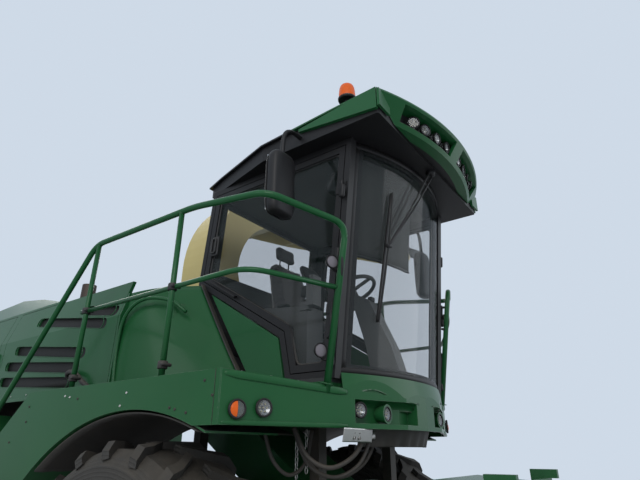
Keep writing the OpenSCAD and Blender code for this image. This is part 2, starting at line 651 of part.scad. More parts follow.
module cab_roof() {
    r = roof_r;
    color(trim) {
        intersection() {
            along_z(roof_z, brim_z) intersection() {
                polygon(inset(roof_plan, 26));
                translate([-400, -1200]) square([400 + seam_x, 2400]);
            }
            along_y(-1100, 1100) polygon(concat([[roof_front_x, roof_z], [-250, roof_z]], [for (q = roof_top) q - [0, 12]]));
        }
        along_z(roof_z + 30, roof_z + 44) intersection() {
            polygon(inset(roof_plan, 169));
            translate([seam_x, -1200]) square([400, 2400]);
        }
        for (a = [-20, 1.6]) translate([roof_c, 0, 0]) rotate_extrude(angle = 18.4, start = a, $fn = 120)
            polygon([[r - 150, lip_z + 26 + weld], [r - 138, lip_z + 26 + weld], [r - 110, brim_z - 24 - weld],
                [r - 122, brim_z - 24 - weld]]);
        both_sides() {
            translate(beacon - [0, 0, 222]) cylinder(h = 136, r = 22, $fn = 32);
            translate(beacon - [0, 0, 86]) cylinder(h = 16, r = 62, $fn = 32);
        }
    }
}
module roof_panels() {
    color(paint_dark) {
        intersection() {
            along_z(roof_z, brim_z) intersection() {
                polygon(roof_plan);
                translate([-400, -1200]) square([400 + seam_x, 2400]);
            }
            along_y(-1100, 1100) polygon(concat(roof_top, [for (i = [len(roof_top) - 1:-1:0]) roof_top[i] - [0, 11.9]]));
        }
        intersection() {
            along_z(roof_z + 100, brim_z + 34) intersection() {
                polygon(inset(roof_plan, 210));
                translate([-60, -1200]) square([1400, 2400]);
            }
            along_y(-1100, 1100) polygon(concat([for (q = roof_top) q - [0, 4]], [[roof_front_x, 4200], [-250, 4200]]));
        }
        both_sides() along_y(roof_half_w - 26, roof_half_w) polygon(wing);
    }
}
module roof_visor() {
    r = roof_r;
    color(paint_dark) difference() {
        union() {
            intersection() {
                roof_band([[900, brim_z - 20], [r - 40, brim_z - 24], [r - 40, brim_z - 30], [r - 118, lip_z + 26],
                    [r - 168, lip_z + 26], [r - 168, lip_z], [r - 96, lip_z], [r, brim_z - 18], [r - 4, brim_z - 2],
                    [r - 40, brim_z + 6], [900, brim_z + 12]], roof_half + 3);
                block(seam_x + 6, 2000, -roof_half_w, roof_half_w, roof_z, brim_z + 20);
            }
            both_sides() block(seam_x + 6.5, seam_x + 24, roof_half_w - 145, roof_half_w - 3, lip_z + 14, brim_z - 14);
        }
        for (a = [-19.8, 1.8]) translate([roof_c, 0, 0]) rotate_extrude(angle = 18, start = a, $fn = 120)
                polygon([[r - 140, roof_z + 52], [r + 60, roof_z + 52], [r + 60, brim_z - 32], [r - 100, brim_z - 32]]);
    }
}
module circle_at(c, r) { translate(c) circle(r = r, $fn = 120); }

// The body behind the cab
door_half = hood_half_w - 210;
hood_yz = [[hood_half_w, 1480], [hood_half_w, 2680], [hood_half_w - 90, 3000], [hood_half_w - 390, 3330],
    [390 - hood_half_w, 3330], [90 - hood_half_w, 3000], [-hood_half_w, 2680], [-hood_half_w, 1480]];
hood_z = 1480;
hood_xz = [[service_x, deck_z], [service_x, 2860], [-1300, 2872], [-2500, 3180], [-3300, 3330], [-4050, 3250],
    [hood_rear_x + 70, 2900], [hood_rear_x, 2300], [hood_rear_x + 30, 1480], [service_rear_x - 60, 1480],
    [service_rear_x - 60, deck_z]];
module body_shell() {
    t = panel_t;
    iy = inset(hood_yz, t);
    ix = inset(hood_xz, t);
    color(paint_dark) {
        difference() {
            intersection() {
                along_x(hood_rear_x - 10, service_x) polygon(hood_yz);
                along_y(-hood_half_w - 1, hood_half_w + 1) polygon(hood_xz);
            }
            intersection() {
                along_x(hood_rear_x - 10, service_x) translate([0, -100]) polygon(iy);
                along_x(hood_rear_x - 10, service_x) polygon([for (p = iy) p[1] < 1600 ? [p[0], 1400] : p]);
                along_y(-hood_half_w, hood_half_w) polygon([for (i = [0:len(ix) - 1]) i == 0 || i >= 8
                    ? [ix[i][0], ix[i][1] - 100] : ix[i]]);
            }
            both_sides() block(service_rear_x, service_x - 20, hood_half_w - 160, hood_half_w + 90, deck_z + 20, 2976);
            both_sides() block(side_door_rear_x, side_door_x - 20, hood_half_w - 160, hood_half_w + 90, hood_z + 34, 2976);
            block(service_x - 30, service_x + 1, -310, 310, deck_z - 1, 3000);
            block(-1000, service_x + 1, -310, 310, 2800, 2900);
            block(hood_rear_x - 10, hood_rear_x + 160, -door_half, door_half, 1644, 2800);
            translate([-2500, -430, 2600]) cylinder(h = 900, r = 82, $fn = 40);
        }
        both_sides() on_service_axis() for (z = side_hinges) hinge_post(z, 14);
        on_rear_axis() for (z = rear_hinges) hinge_post(z, 14);
        both_sides() {
            along_z(deck_z + weld, 2740) polygon(concat(wall_line, [for (i = [2:-1:0]) wall_line[i] - [12, 14]]));
            block(service_x, -250, 320, wall_y - 10, 2726, 2740);
        }
        difference() {
            block(-410, -396, 14 - wall_y, wall_y - 14, deck_z + weld, 2870);
            block(-411, -395, -310, 310, deck_z - 1, 2300);
        }
    }
}
wall_y = cab_half_w + 190;
wall_line = [[service_x, wall_y], [-240, wall_y], [-150, cab_half_w + 60]];
side_hinges = [1800, 2500];
module on_service_axis() { translate([side_door_x - 23, hood_half_w + 14, 0]) children(); }
rear_hinges = [2200, 2340];
module on_rear_axis() {
    translate([hood_rear_x - 14, door_half - 3, 0]) rotate([0, 0, 90]) children();
}
// A side panel of the hood, folded where the hood narrows
module folded(x0, x1, z0) {
    w = hood_half_w;
    along_x(x0, x1) polygon([[w - 26, z0], [w, z0], [w, 2680], [w - 81, 2970], [w - 109, 2970], [w - 26, 2672]]);
}
// Slots of the louvred panel: rear x, rear z, front x, front z of the middle line
slot_h = 84;
slots = [[-2207, 2579, -1074, 2446], [-2331, 2449, -1126, 2336], [-2380, 2315, -1201, 2230],
    [-1980, 2818, -850, 2647], [-1205, 2806, -740, 2731]];
module louvre_panels() {
    color(paint_dark) both_sides() difference() {
        folded(service_rear_x + 6, service_x - 26, deck_z + 20 + weld);
        along_y(hood_half_w - 130, hood_half_w + 10) for (s = slots) {
            a = atan2(s[3] - s[1], s[2] - s[0]);
            polygon(concat(arc([s[2], s[3]], slot_h / 2, a - 90, a + 90, 6), arc([s[0], s[1]], slot_h / 2, a + 90, a + 270, 6)));
        }
    }
}
module service_door() {
    color(paint_dark) folded(side_door_rear_x + 6, side_door_x - 26, hood_z + 40);
    color(trim) on_service_axis() for (z = side_hinges) hinge_leaf(z, 14);
}
module left_service_door() { service_door(); }
module right_service_door() { mirror([0, 1, 0]) service_door(); }
module rear_door() {
    x = hood_rear_x;
    color(trim) on_rear_axis() for (z = rear_hinges) hinge_leaf(z, 14);
    color(trim) along_y(6 - door_half, door_half - 6) polygon([[x + 23, 1650], [x, 2300], [x + 57, 2794], [x + 87, 2794], [x + 30, 2300],
        [x + 53, 1650]]);
}
module engine() {
    color("#3a3d3c") block(-3900, -2700, -rail_y, rail_y, rail_top, 2500);
}
module exhaust() {
    color(steel) {
        block(-2800, -2410, -480, -380, 2500, 2620);
        translate([-2500, -430, 2500]) cylinder(h = 950, r = 75, $fn = 40);
    }
}
module tanks() {
    color(trim) both_sides() block(-2230, arch_c[0] - arch_r - 30, 520, 960, 760, 1400);
}

// Platforms, stairs, mudguards and handrails
skirt_top = deck_z - 1;
skirt_z = 1862;
arch_c = [60, 355];
arch_r = 1605;
// Outer edge of the fascia in plan, and its top that slopes down to the front
fascia_x = 790;
fascia_half = [[fascia_x + weld, -half_width], [800, -half_width], [1085, -670], [1235, -260], [1250, 0]];
fascia_pts = concat(fascia_half, [for (i = [3:-1:0]) [fascia_half[i][0], -fascia_half[i][1]]]);
fascia_deep = [for (p = fascia_pts) p[0] < 795 ? [700, p[1]] : p];
function slope_z(x) = deck_z - 3 - 0.19 * (x - 800);
function stair_z(i) = 1850 - 224 * i;
skirt_cuts = [-1150, -560, 10, 600, 757, fascia_x];
band_cuts = [-1250, -760, -280, 200, 700];
module platforms() {
    w = half_width;
    color(paint_dark) both_sides() {
        for (i = [0:len(skirt_cuts) - 2]) along_y(w - 12, w) intersection() {
            difference() {
                polygon([[fascia_x, skirt_z], [fascia_x, skirt_top], [-1150, skirt_top], [-1150, 1500], [0, 1500],
                    [600, skirt_z]]);
                circle_at(arch_c, arch_r);
            }
            translate([skirt_cuts[i], 1400]) square([skirt_cuts[i + 1] - skirt_cuts[i] - (i == 3 ? 4 : weld), 800]);
        }
        along_y(w - 12, w) difference() {
            polygon([[-1150 - weld, skirt_top], [-1540, 1820], [-2180, 920], [-2180, 790], [-2120, 790], [-1400, 1500],
                [-1150 - weld, 1500]]);
            circle_at(arch_c, arch_r);
        }
        for (i = [0:len(band_cuts) - 2]) along_y(850, w - 12 - weld) intersection() {
            difference() {
                circle_at(arch_c, arch_r + 10);
                circle_at(arch_c, arch_r);
            }
            translate([band_cuts[i], 700]) square([band_cuts[i + 1] - band_cuts[i] - weld, 1400]);
        }
    }
    color("#2c2f31") {
        both_sides() {
            block(-1150, 745 - weld, rail_y - 80, w - 12 - weld, deck_z - 40, deck_z);
            along_y(990, 1002) polygon([[-1150 - weld, deck_z], [-2180, 920], [-2180, 790], [-2120, 790],
                [-1150 - weld, 1930]]);
            for (i = [0:4]) block(-1420 - 190 * i, -1200 - 190 * i, 1002 + weld, w - 12 - weld, stair_z(i), stair_z(i) + 30);
        }
        along_z(deck_z - 40, deck_z) {
            translate([745, 12 + weld - w]) square([fascia_x - 745, 2 * (w - 12 - weld)]);
            translate([745, -808]) square([265, 1616]);
            intersection() {
                circle_at([screen_x, 0], screen_r - 12);
                translate([900, -700]) square([400, 1400]);
            }
        }
    }
}
// Recess of the lower lamps: y from and to, z from and to, depth of its panel
recess = [130, 640, 1890, 2020, 70];
apron_half = screen_half - 0.6;
module recess_ring(outer, inner, m) {
    along_z(recess[2] - m, recess[3] + m) intersection() {
        difference() {
            polygon(inset(fascia_deep, outer));
            polygon(inset(fascia_deep, inner));
        }
        translate([900, recess[0] - m]) square([500, recess[1] - recess[0] + 2 * m]);
    }
}
module fascia() {
    r = screen_r;
    color(paint_dark) {
        difference() {
            union() {
                intersection() {
                    along_z(1990, deck_z) polygon(fascia_pts);
                    along_y(-half_width, half_width) polygon([[fascia_x, slope_z(fascia_x)], [1260, slope_z(1260)],
                        [1260, slope_z(1260) - 14], [fascia_x, slope_z(fascia_x) - 14]]);
                }
                intersection() {
                    along_z(skirt_z, deck_z) difference() {
                        polygon(fascia_pts);
                        polygon(inset(fascia_deep, 16));
                    }
                    along_y(-half_width, half_width) polygon([[fascia_x, skirt_z], [1260, skirt_z],
                        [1260, slope_z(1260)], [fascia_x, slope_z(fascia_x)]]);
                }
                both_sides() recess_ring(2, recess[4] + 12, 12);
            }
            both_sides() recess_ring(-20, recess[4], 0);
            block(fascia_x - 10, 1016, -808, 808, 1980, deck_z + 1);
            along_z(1980, deck_z + 1) intersection() {
                circle_at([screen_x, 0], r + 24);
                translate([900, -709]) square([500, 1418]);
            }
        }
        intersection() {
            translate([screen_x, 0, 0]) rotate_extrude(angle = 2 * apron_half, start = -apron_half, $fn = 120)
                polygon([[r + 18, deck_z + 36], [r + 25, deck_z + 36], [r + 56, 2034], [r + 40, 2034]]);
            along_z(2030, deck_z + 40) polygon(fascia_pts);
        }
        both_sides() cup(lamp_at[1]);
    }
}
// Lower lamps: x, y, z, direction, radius
side_edge = fascia_half[2] - fascia_half[1];
side_n = [side_edge[1], side_edge[0]] / norm(side_edge);
function on_side(y, d) = [800 + side_edge[0] * (half_width - y) / side_edge[1], y] + d * side_n;
side_az = atan2(side_n[1], side_n[0]);
lamp_at = [[1097, 581, 1964, 20.1, 40], [1172, 399, 1948, 0, 40], concat(on_side(1191, 18 + weld), [1947, side_az, 40]),
    concat(on_side(1327, 18 + weld), [1936, side_az, 40])];
module cup(p) {
    translate([p[0], p[1], p[2]]) rotate([0, 90, p[3]]) difference() {
        translate([0, 0, -66]) cylinder(h = 70, r1 = p[4] + 2, r2 = p[4] + 16, $fn = 40);
        translate([0, 0, -26 - weld]) cylinder(h = 40, r = p[4] + 2, $fn = 40);
    }
}
rail_y0 = half_width - 60;
rail_zt = deck_z + rail_top_h;
module handrails() {
    m = deck_z + 540;
    y = -rail_y0;
    a = [-760, y, rail_zt];
    b = [360, y, rail_zt - 10];
    top = [1180, -cab_half_w - 55, rail_zt - 160];
    foot = [1020, -cab_half_w - 48, slope_z(1020) - 40];
    f = (top[2] - m + 30) / (top[2] - foot[2]);
    post_r = tube_r - 3;
    color(paint_dark) both_sides() {
        difference() {
            union() {
                pipe([[-1900, y, 1880], [-1760, y, 2040], a, b, [980, y, rail_zt - 100], top, foot], tube_r);
                block(990, 1030, -850, -808, 2000, deck_z - 24);
            }
            along_y(-900, -700) polygon([[fascia_x, slope_z(fascia_x) + weld], [1260, slope_z(1260) + weld], [1260, 1900],
                [fascia_x, 1900]]);
        }
        for (x = [-720, 240]) difference() {
            rod([x, y, rail_zt - 5], [x, y, deck_z + 0.3], post_r);
            rod(a - [60, 0, 0], b + [60, 0, 0], tube_r + weld);
            rod([x, y, m] - [60, 0, 0], [x, y, m] + [60, 0, 0], tube_r - 5 + weld);
        }
        difference() {
            pipe([[-780, y, m], [860, y, m], top + f * (foot - top)], tube_r - 5);
            rod(top, foot, tube_r + weld);
        }
        rod([-1920, y, 1862], [-1940, y, stair_z(3) + 30.8], post_r);
    }
}

mirror_y = 1080;
module rounded(x0, x1, y0, y1, r) {
    polygon(concat(arc([x1 - r, y1 - r], r, 0, 90, 4), arc([x0 + r, y1 - r], r, 90, 180, 4),
        arc([x0 + r, y0 + r], r, 180, 270, 4), arc([x1 - r, y0 + r], r, 270, 360, 4)));
}
module mirrors() {
    z = roof_z - 690;
    color(trim) both_sides() {
        pipe([[856, 25.7 - roof_half_w, roof_z + 62], [856, -mirror_y + 60, roof_z + 62], [856, -mirror_y, roof_z],
            [856, -mirror_y, z + 500]], 16);
        intersection() {
            along_z(z, z + 540) rounded(811, 901, -mirror_y - 95, -mirror_y + 95, 34);
            along_x(805, 905) rounded(-mirror_y - 95, -mirror_y + 95, z, z + 540, 60);
        }
    }
}
module lamp(p, d) {
    translate([p[0], p[1], p[2]]) rotate([0, 90, p[3]]) translate([0, 0, -d]) cylinder(h = d, r = p[4], $fn = 32);
}
// Lamps under the visor: angle about the roof's middle, direction, depth
visor_lamps = [[3.4, 0, 40], [7.7, 8, 40], [12, 28, 36], [15.9, 55, 26]];
module lamps() {
    color("#e6ecec") both_sides() {
        for (v = visor_lamps) translate([roof_c, 0, 0]) rotate([0, 0, v[0]]) translate([roof_r - 72, 0, roof_z + 102])
            rotate([0, 0, v[1] - v[0]]) {
                rotate([0, 102, 0]) translate([0, 0, -v[2]]) cylinder(h = v[2], r = 38, $fn = 32);
                translate([-v[2] / 2, 0, lip_z + 28 + weld - roof_z - 102]) cylinder(h = 30, r = 8, $fn = 24);
            }
        lamp(lamp_at[0], 50);
        lamp(lamp_at[1], 26);
        lamp(lamp_at[2], 18);
        intersection() {
            lamp(lamp_at[3], 18);
            half_of(lamp_at[3], weld);
        }
    }
}
module half_of(p, d) { translate([p[0], p[1], p[2]]) rotate([0, 0, p[3]]) block(-60, 60, -80, -d, -80, 80); }
module amber_lamps() {
    color("#e88a12") both_sides() {
        translate(beacon) rotate_extrude($fn = 48) polygon(concat([[0, -70 + weld], [60, -70 + weld], [60, 20]],
            arc([28, 20], 32, 0, 90, 4), [[0, 56]]));
        difference() {
            lamp(lamp_at[3], 18);
            half_of(lamp_at[3], 0);
        }
    }
}
module wipers() {
    color(trim) {
        screen_strip(-18);
    }
}
module screen_strip(a) {
    intersection() {
        translate([screen_x, 0, deck_z]) rotate([0, cab_lean, 0]) translate([0, 0, -200])
            rotate_extrude(angle = 0.8, start = a, $fn = 120) translate([screen_r, 0]) square([26, 2200]);
        block(-500, 2500, -1200, 1200, deck_z + 360, deck_z + 1280);
    }
}

frame();
front_axle();
rear_axle();
left_knuckle();
right_knuckle();
tie_rod();
front_left_rim();
front_left_tyre();
front_right_rim();
front_right_tyre();
rear_left_rim();
rear_left_tyre();
rear_right_rim();
rear_right_tyre();
cutter_housing();
cutterhead();
feed_housing();
roll_lower_front();
roll_lower_rear();
roll_upper_front();
roll_upper_rear();
left_lift_barrel();
left_lift_rod();
right_lift_barrel();
right_lift_rod();
spout_turret();
spout_elbow();
spout_arm();
spout_flap();
spout_barrel();
spout_rod();
cab_frame();
cab_quarters();
cab_roof();
roof_panels();
roof_visor();
windscreen();
cab_glass();
left_door();
left_door_glass();
right_door();
right_door_glass();
seat();
console();
fascia();
platforms();
handrails();
louvre_panels();
left_service_door();
right_service_door();
body_shell();
rear_door();
engine();
exhaust();
mirrors();
lamps();
amber_lamps();
wipers();
tanks();
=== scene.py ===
# %% [markdown]
# # Dressing a forage harvester
# The machine was built first as solid parts, in metres, with +X forward, +Y to its left and
# +Z up. Here each of those parts gets its finish, and the small pieces that a quick stand-in
# lacks are worked out as surfaces: a formula gives every point of a grid at once, and the
# grid goes into the mesh in one step.

# %% Load the fixed frame
import math

import bmesh
import bpy
import mathutils
import numpy as np
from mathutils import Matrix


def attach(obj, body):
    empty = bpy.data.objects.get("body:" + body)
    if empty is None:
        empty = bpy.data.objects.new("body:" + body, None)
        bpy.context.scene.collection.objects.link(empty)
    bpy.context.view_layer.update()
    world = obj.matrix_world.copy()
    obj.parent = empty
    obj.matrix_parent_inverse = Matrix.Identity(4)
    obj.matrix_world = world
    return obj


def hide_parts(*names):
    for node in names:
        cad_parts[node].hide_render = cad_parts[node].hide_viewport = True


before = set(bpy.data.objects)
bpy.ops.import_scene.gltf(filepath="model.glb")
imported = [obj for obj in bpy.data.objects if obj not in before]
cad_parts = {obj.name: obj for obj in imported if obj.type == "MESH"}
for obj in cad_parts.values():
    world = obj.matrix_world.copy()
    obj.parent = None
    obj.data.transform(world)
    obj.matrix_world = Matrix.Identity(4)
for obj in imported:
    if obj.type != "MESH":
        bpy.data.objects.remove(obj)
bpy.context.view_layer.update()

# %% [markdown]
# ## The camera
# The photograph was taken from close by the front right wheel, standing, with the lens
# tilted up at the cab. A camera is easiest to place by what a surveyor would note: where it
# stands, its bearing, its tilt and how long its lens is in pixels of a 640 pixel frame.

# %% Stand the camera where the photograph was taken
CAMERA_AT = (2.63, -3.12, 1.75)
BEARING, TILT = math.radians(35.7), math.radians(23.6)
LENS_PIXELS, FRAME_PIXELS, SENSOR_MM = 481.0, 640.0, 36.0


def camera_axes(bearing, tilt):
    """Right, up and back of a level camera: forward turns from +Y towards -X by the bearing
    and rises by the tilt; right lies flat, and up is square to both."""
    ahead = np.array([-math.sin(bearing) * math.cos(tilt), math.cos(bearing) * math.cos(tilt),
                      math.sin(tilt)])
    right = np.array([math.cos(bearing), math.sin(bearing), 0.0])
    return right, np.cross(right, ahead), -ahead


lens = bpy.data.cameras.new("photo_camera")
lens.sensor_width = SENSOR_MM
lens.lens = LENS_PIXELS / FRAME_PIXELS * SENSOR_MM
lens.clip_end = 200.0
camera = bpy.data.objects.new("photo_camera", lens)
bpy.context.collection.objects.link(camera)
place = np.eye(4)
place[:3, :3] = np.array(camera_axes(BEARING, TILT)).T
place[:3, 3] = CAMERA_AT
camera.matrix_world = mathutils.Matrix(place.tolist())
bpy.context.scene.camera = camera
bpy.context.scene.view_settings.view_transform = "Standard"
print("lens", round(lens.lens, 2), "mm")

# %% [markdown]
# ## Tools for surfaces
# Nearly every trim piece on a machine is one of three things: a sheet that follows a
# formula, a section carried along a path, or a profile turned about an axis. All three are
# grids of points, so one function that turns a grid into a mesh serves them all. Working
# on whole arrays keeps the shape readable as a formula and makes thousands of points cheap.

# %% Grids into meshes
X_AXIS, Y_AXIS, Z_AXIS = np.eye(3)


def quads(rows, columns, ring_rows=False, ring_columns=False):
    """Corner numbers of the faces of a grid: each face joins a point with its neighbours
    along the row, across, and back; a ring joins its last line to its first."""
    i, j = np.meshgrid(np.arange(rows if ring_rows else rows - 1),
                       np.arange(columns if ring_columns else columns - 1), indexing="ij")
    k, l = (i + 1) % rows, (j + 1) % columns
    corners = [i * columns + j, k * columns + j, k * columns + l, i * columns + l]
    return np.stack(corners, -1).reshape(-1, 4)


def piece(name, points, faces, body, finish, slot, smooth=True):
    """A new piece from arrays of points and of faces. Points that meet are merged, open ends
    are closed, and each shell's faces are turned outward. The piece rides on a body of the
    frame. Its slot, one of the record's material slots, is not used."""
    mesh = bpy.data.meshes.new(name)
    mesh.from_pydata(np.asarray(points, float).reshape(-1, 3).tolist(), [],
                     np.asarray(faces).tolist())
    shell = bmesh.new()
    shell.from_mesh(mesh)
    bmesh.ops.remove_doubles(shell, verts=shell.verts, dist=1e-6)
    bmesh.ops.holes_fill(shell, edges=[edge for edge in shell.edges if edge.is_boundary], sides=0)
    bmesh.ops.recalc_face_normals(shell, faces=shell.faces)
    shell.to_mesh(mesh)
    shell.free()
    mesh.validate()
    mesh.polygons.foreach_set("use_smooth", np.full(len(mesh.polygons), smooth))
    mesh.materials.append(finish)
    thing = bpy.data.objects.new(name, mesh)
    bpy.context.collection.objects.link(thing)
    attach(thing, body)
    return thing


def grid_of(points, closed=(False, False)):
    """A grid of points, rows by columns by three, as points and faces."""
    points = np.asarray(points, float)
    return points.reshape(-1, 3), quads(points.shape[0], points.shape[1], *closed)


def closed_sheet(front, back, shut=False):
    """A sheet from the grids of its two faces: each row runs out along the front and back
    along the other face. When shut, both ends also close on the sheet's middle line."""
    ring = np.concatenate([front, back[:, ::-1]], 1)
    if shut:
        middle = (ring + ring[:, ::-1]) / 2
        ring = np.concatenate([middle[:1], ring, middle[-1:]])
    return grid_of(ring, (False, True))


def drawn_in(rings):
    """Rings of points, with the first and the last drawn in to their middles as well."""
    count = rings.shape[1]
    return np.concatenate([np.repeat(rings[:1].mean(1, keepdims=True), count, 1), rings,
                           np.repeat(rings[-1:].mean(1, keepdims=True), count, 1)])


def joined(parts):
    """Several sets of points and faces as one: each set's face numbers are raised by the
    number of points before it."""
    points, faces, count = [], [], 0
    for p, f in parts:
        points.append(np.asarray(p, float).reshape(-1, 3))
        faces.append(np.asarray(f) + count)
        count += len(points[-1])
    return np.concatenate(points), np.concatenate(faces)


def xyz(x, y, z):
    """Points from their three coordinates, any of which may be one number for all."""
    return np.stack(np.broadcast_arrays(x, y, z), -1).astype(float)


def unit(v):
    """Directions of length one: each vector divided by its own length."""
    v = np.asarray(v, float)
    return v / np.linalg.norm(v, axis=-1, keepdims=True)


def swept(path, section, up=Z_AXIS, ring=False):
    """A closed section carried along a path: at each point of the path the section's two
    coordinates are laid along side = up x tangent and along tangent x side. A path that
    isn't a ring gets its two ends drawn in to the path's own ends."""
    path, section = np.asarray(path, float), np.asarray(section, float)
    ahead = unit(np.roll(path, -1, 0) - np.roll(path, 1, 0) if ring else np.gradient(path, axis=0))
    side = unit(np.cross(np.asarray(up, float), ahead))
    over = np.cross(ahead, side)
    body = path[:, None] + section[None, :, :1] * side[:, None] + section[None, :, 1:] * over[:, None]
    if not ring:
        body = np.concatenate([np.repeat(path[:1, None], len(section), 1), body,
                               np.repeat(path[-1:, None], len(section), 1)])
    return grid_of(body[:, ::-1], (ring, True))


def circle(radius, sides=12):
    """Points of a circle: the radius times cosine and sine of even turns."""
    a = np.arange(sides) / sides * 2 * np.pi
    return radius * np.stack([np.cos(a), np.sin(a)], -1)


def curve(points, count=24):
    """A smooth line through a few points, sampled evenly. Between two points b and c each
    coordinate is a cubic whose slope is half of c - a at b and half of d - b at c, where a and
    d are the points before and after."""
    p = np.asarray(points, float)
    q = np.concatenate([2 * p[:1] - p[1:2], p, 2 * p[-1:] - p[-2:-1]])
    t = np.linspace(0, len(p) - 1, count)
    k = np.minimum(t.astype(int), len(p) - 2)
    u = (t - k)[:, None]
    a, b, c, d = q[k], q[k + 1], q[k + 2], q[k + 3]
    return 0.5 * (2 * b + (c - a) * u + (2 * a - 5 * b + 4 * c - d) * u**2
                  + (3 * b - 3 * c + d - a) * u**3)


def turned(profile, centre, axis, segments=32, ring=False):
    """A profile of (radius, distance along the axis) turned about the axis: every point goes
    round on cosine and sine of the turn."""
    profile = np.asarray(profile, float)
    axis = unit(axis)
    one = unit(np.cross(axis, Z_AXIS if abs(axis[2]) < 0.9 else X_AXIS))
    two = np.cross(axis, one)
    a = np.arange(segments)[:, None, None] / segments * 2 * np.pi
    grid = (np.asarray(centre, float) + profile[None, :, :1] * (np.cos(a) * one + np.sin(a) * two)
            + profile[None, :, 1:] * axis)
    return grid_of(grid, (True, ring))


def slab(outline, normal_depth, bevel=0.0):
    """A flat plate: an outline of points in space, its copy moved by the depth, and both
    faces drawn in to their middles. The bevel draws the front edge in, and takes up 40 times
    its own metres as a share of the depth."""
    outline, depth = np.asarray(outline, float), np.asarray(normal_depth, float)
    middle = outline.mean(0)
    inward = unit(middle - outline) * bevel
    shoulder = outline + depth * (1 - min(0.9, bevel * 40))
    rows = [np.repeat([middle], len(outline), 0), outline, shoulder, outline + depth + inward,
            np.repeat([middle + depth], len(outline), 0)]
    return grid_of(np.stack(rows), (False, True))


def mirrored(shape):
    """The same shape on the machine's other side: y changes sign, and the faces turn over."""
    points, faces = shape
    return points * [1.0, -1.0, 1.0], np.asarray(faces)[:, ::-1]


def both(shape):
    """A shape and its mirror image, as one."""
    return joined([shape, mirrored(shape)])


print("a circle of 12 has", len(circle(1.0)), "points")

# %% [markdown]
# ## Tools for shader nodes
# A material is a net of small nodes. Written out with Blender's own calls, each node takes a
# line to make, a line for each setting and a line for each link. A few helpers let it be
# written as a formula instead: an input that is given another node's output becomes a link.

# %% Nodes as formulas


def feed(tree, spot, value):
    """Give an input its value: an output of another node becomes a link, anything else the
    input's own number or colour."""
    if isinstance(value, bpy.types.NodeSocket):
        tree.links.new(value, spot)
    else:
        spot.default_value = value


def node(tree, kind, **values):
    """A node with its settings and inputs given by name; _ stands for a space in an input's
    name."""
    made = tree.nodes.new("ShaderNode" + kind)
    for key, value in values.items():
        spot = made.inputs.get(key.replace("_", " "))
        if spot is None:
            setattr(made, key, value)
        else:
            feed(tree, spot, value)
    return made


def maths(tree, operation, *values, clamp=False):
    """The result of one sum, product or other operation on numbers or outputs."""
    made = node(tree, "Math", operation=operation, use_clamp=clamp)
    for spot, value in zip(made.inputs, values):
        feed(tree, spot, value)
    return made.outputs[0]


def blended(tree, share, one, two):
    """Colour one turning into colour two by a share from 0 to 1. A Mix node for colours
    takes the share at input 0 and the colours at 6 and 7."""
    made = node(tree, "Mix", data_type="RGBA")
    for spot, value in ((0, share), (6, one), (7, two)):
        feed(tree, made.inputs[spot], value)
    return made.outputs[2]


def mixed_shader(tree, share, one, two):
    """Shader one turning into shader two by a share from 0 to 1."""
    made = node(tree, "MixShader", Fac=share)
    tree.links.new(one.outputs[0], made.inputs[1])
    tree.links.new(two.outputs[0], made.inputs[2])
    return made.outputs[0]


print("node helpers ready")

# %% [markdown]
# ## Floor, sky and lamps
# A studio for a machine six metres long needs lamps as large as walls, or every panel gets
# a hard spot. The pale background is what the camera, the glass and the gloss see: the world
# shows them one colour and lights the machine with another, so a brighter backdrop never
# bleaches the paint. The floor is a wide sheet that keeps the machine's shadow.

# %% Light the yard
PALE = (0.62, 0.70, 0.80, 1.0)
world = bpy.data.worlds.new("pale_sky")
bpy.context.scene.world = world
world.use_nodes = True
sky = world.node_tree
sky.nodes.clear()
ray = node(sky, "LightPath").outputs
looked_at = maths(sky, "MAXIMUM", maths(sky, "MAXIMUM", ray["Is Camera Ray"], ray["Is Glossy Ray"]),
                  ray["Is Transmission Ray"])
lighting = node(sky, "Background", Color=(0.86, 0.91, 1.0, 1.0), Strength=0.48)
backdrop = node(sky, "Background", Color=PALE, Strength=1.0)
sky.links.new(mixed_shader(sky, looked_at, lighting, backdrop), node(sky, "OutputWorld").inputs["Surface"])


def soft_lamp(name, at, towards, size, watts, tint):
    """A square lamp that faces a point: its own -Z axis is turned along the way there."""
    data = bpy.data.lights.new(name, "AREA")
    data.size, data.energy, data.color = size, watts, tint
    lamp = bpy.data.objects.new(name, data)
    bpy.context.collection.objects.link(lamp)
    lamp.location = at
    way = mathutils.Vector(towards) - mathutils.Vector(at)
    lamp.rotation_euler = way.to_track_quat("-Z", "Y").to_euler()


for row in [  # name, place, aimed at, size, watts, tint
    ("key", (7.0, -9.5, 8.5), (0.2, -0.6, 2.2), 7.0, 760.0, (1.0, 0.98, 0.95)),
    ("fill", (9.0, 7.0, 6.0), (0.0, 0.0, 2.0), 8.0, 300.0, (0.93, 0.97, 1.0)),
    ("back", (-9.0, 4.0, 8.0), (-1.0, 0.0, 2.5), 7.0, 420.0, (1.0, 0.97, 0.92)),
    ("side", (-1.5, -13.0, 6.5), (-1.5, 0.0, 1.8), 6.0, 240.0, (0.95, 0.98, 1.0)),
]:
    soft_lamp(*row)
print("lamps", len(bpy.data.lights))

# %% [markdown]
# The floor is pale concrete near the machine. Further out it fades into the backdrop's own
# colour, so no horizon is seen. Only the camera sees that haze: light that falls on the
# floor and comes back to the machine is still that of concrete.

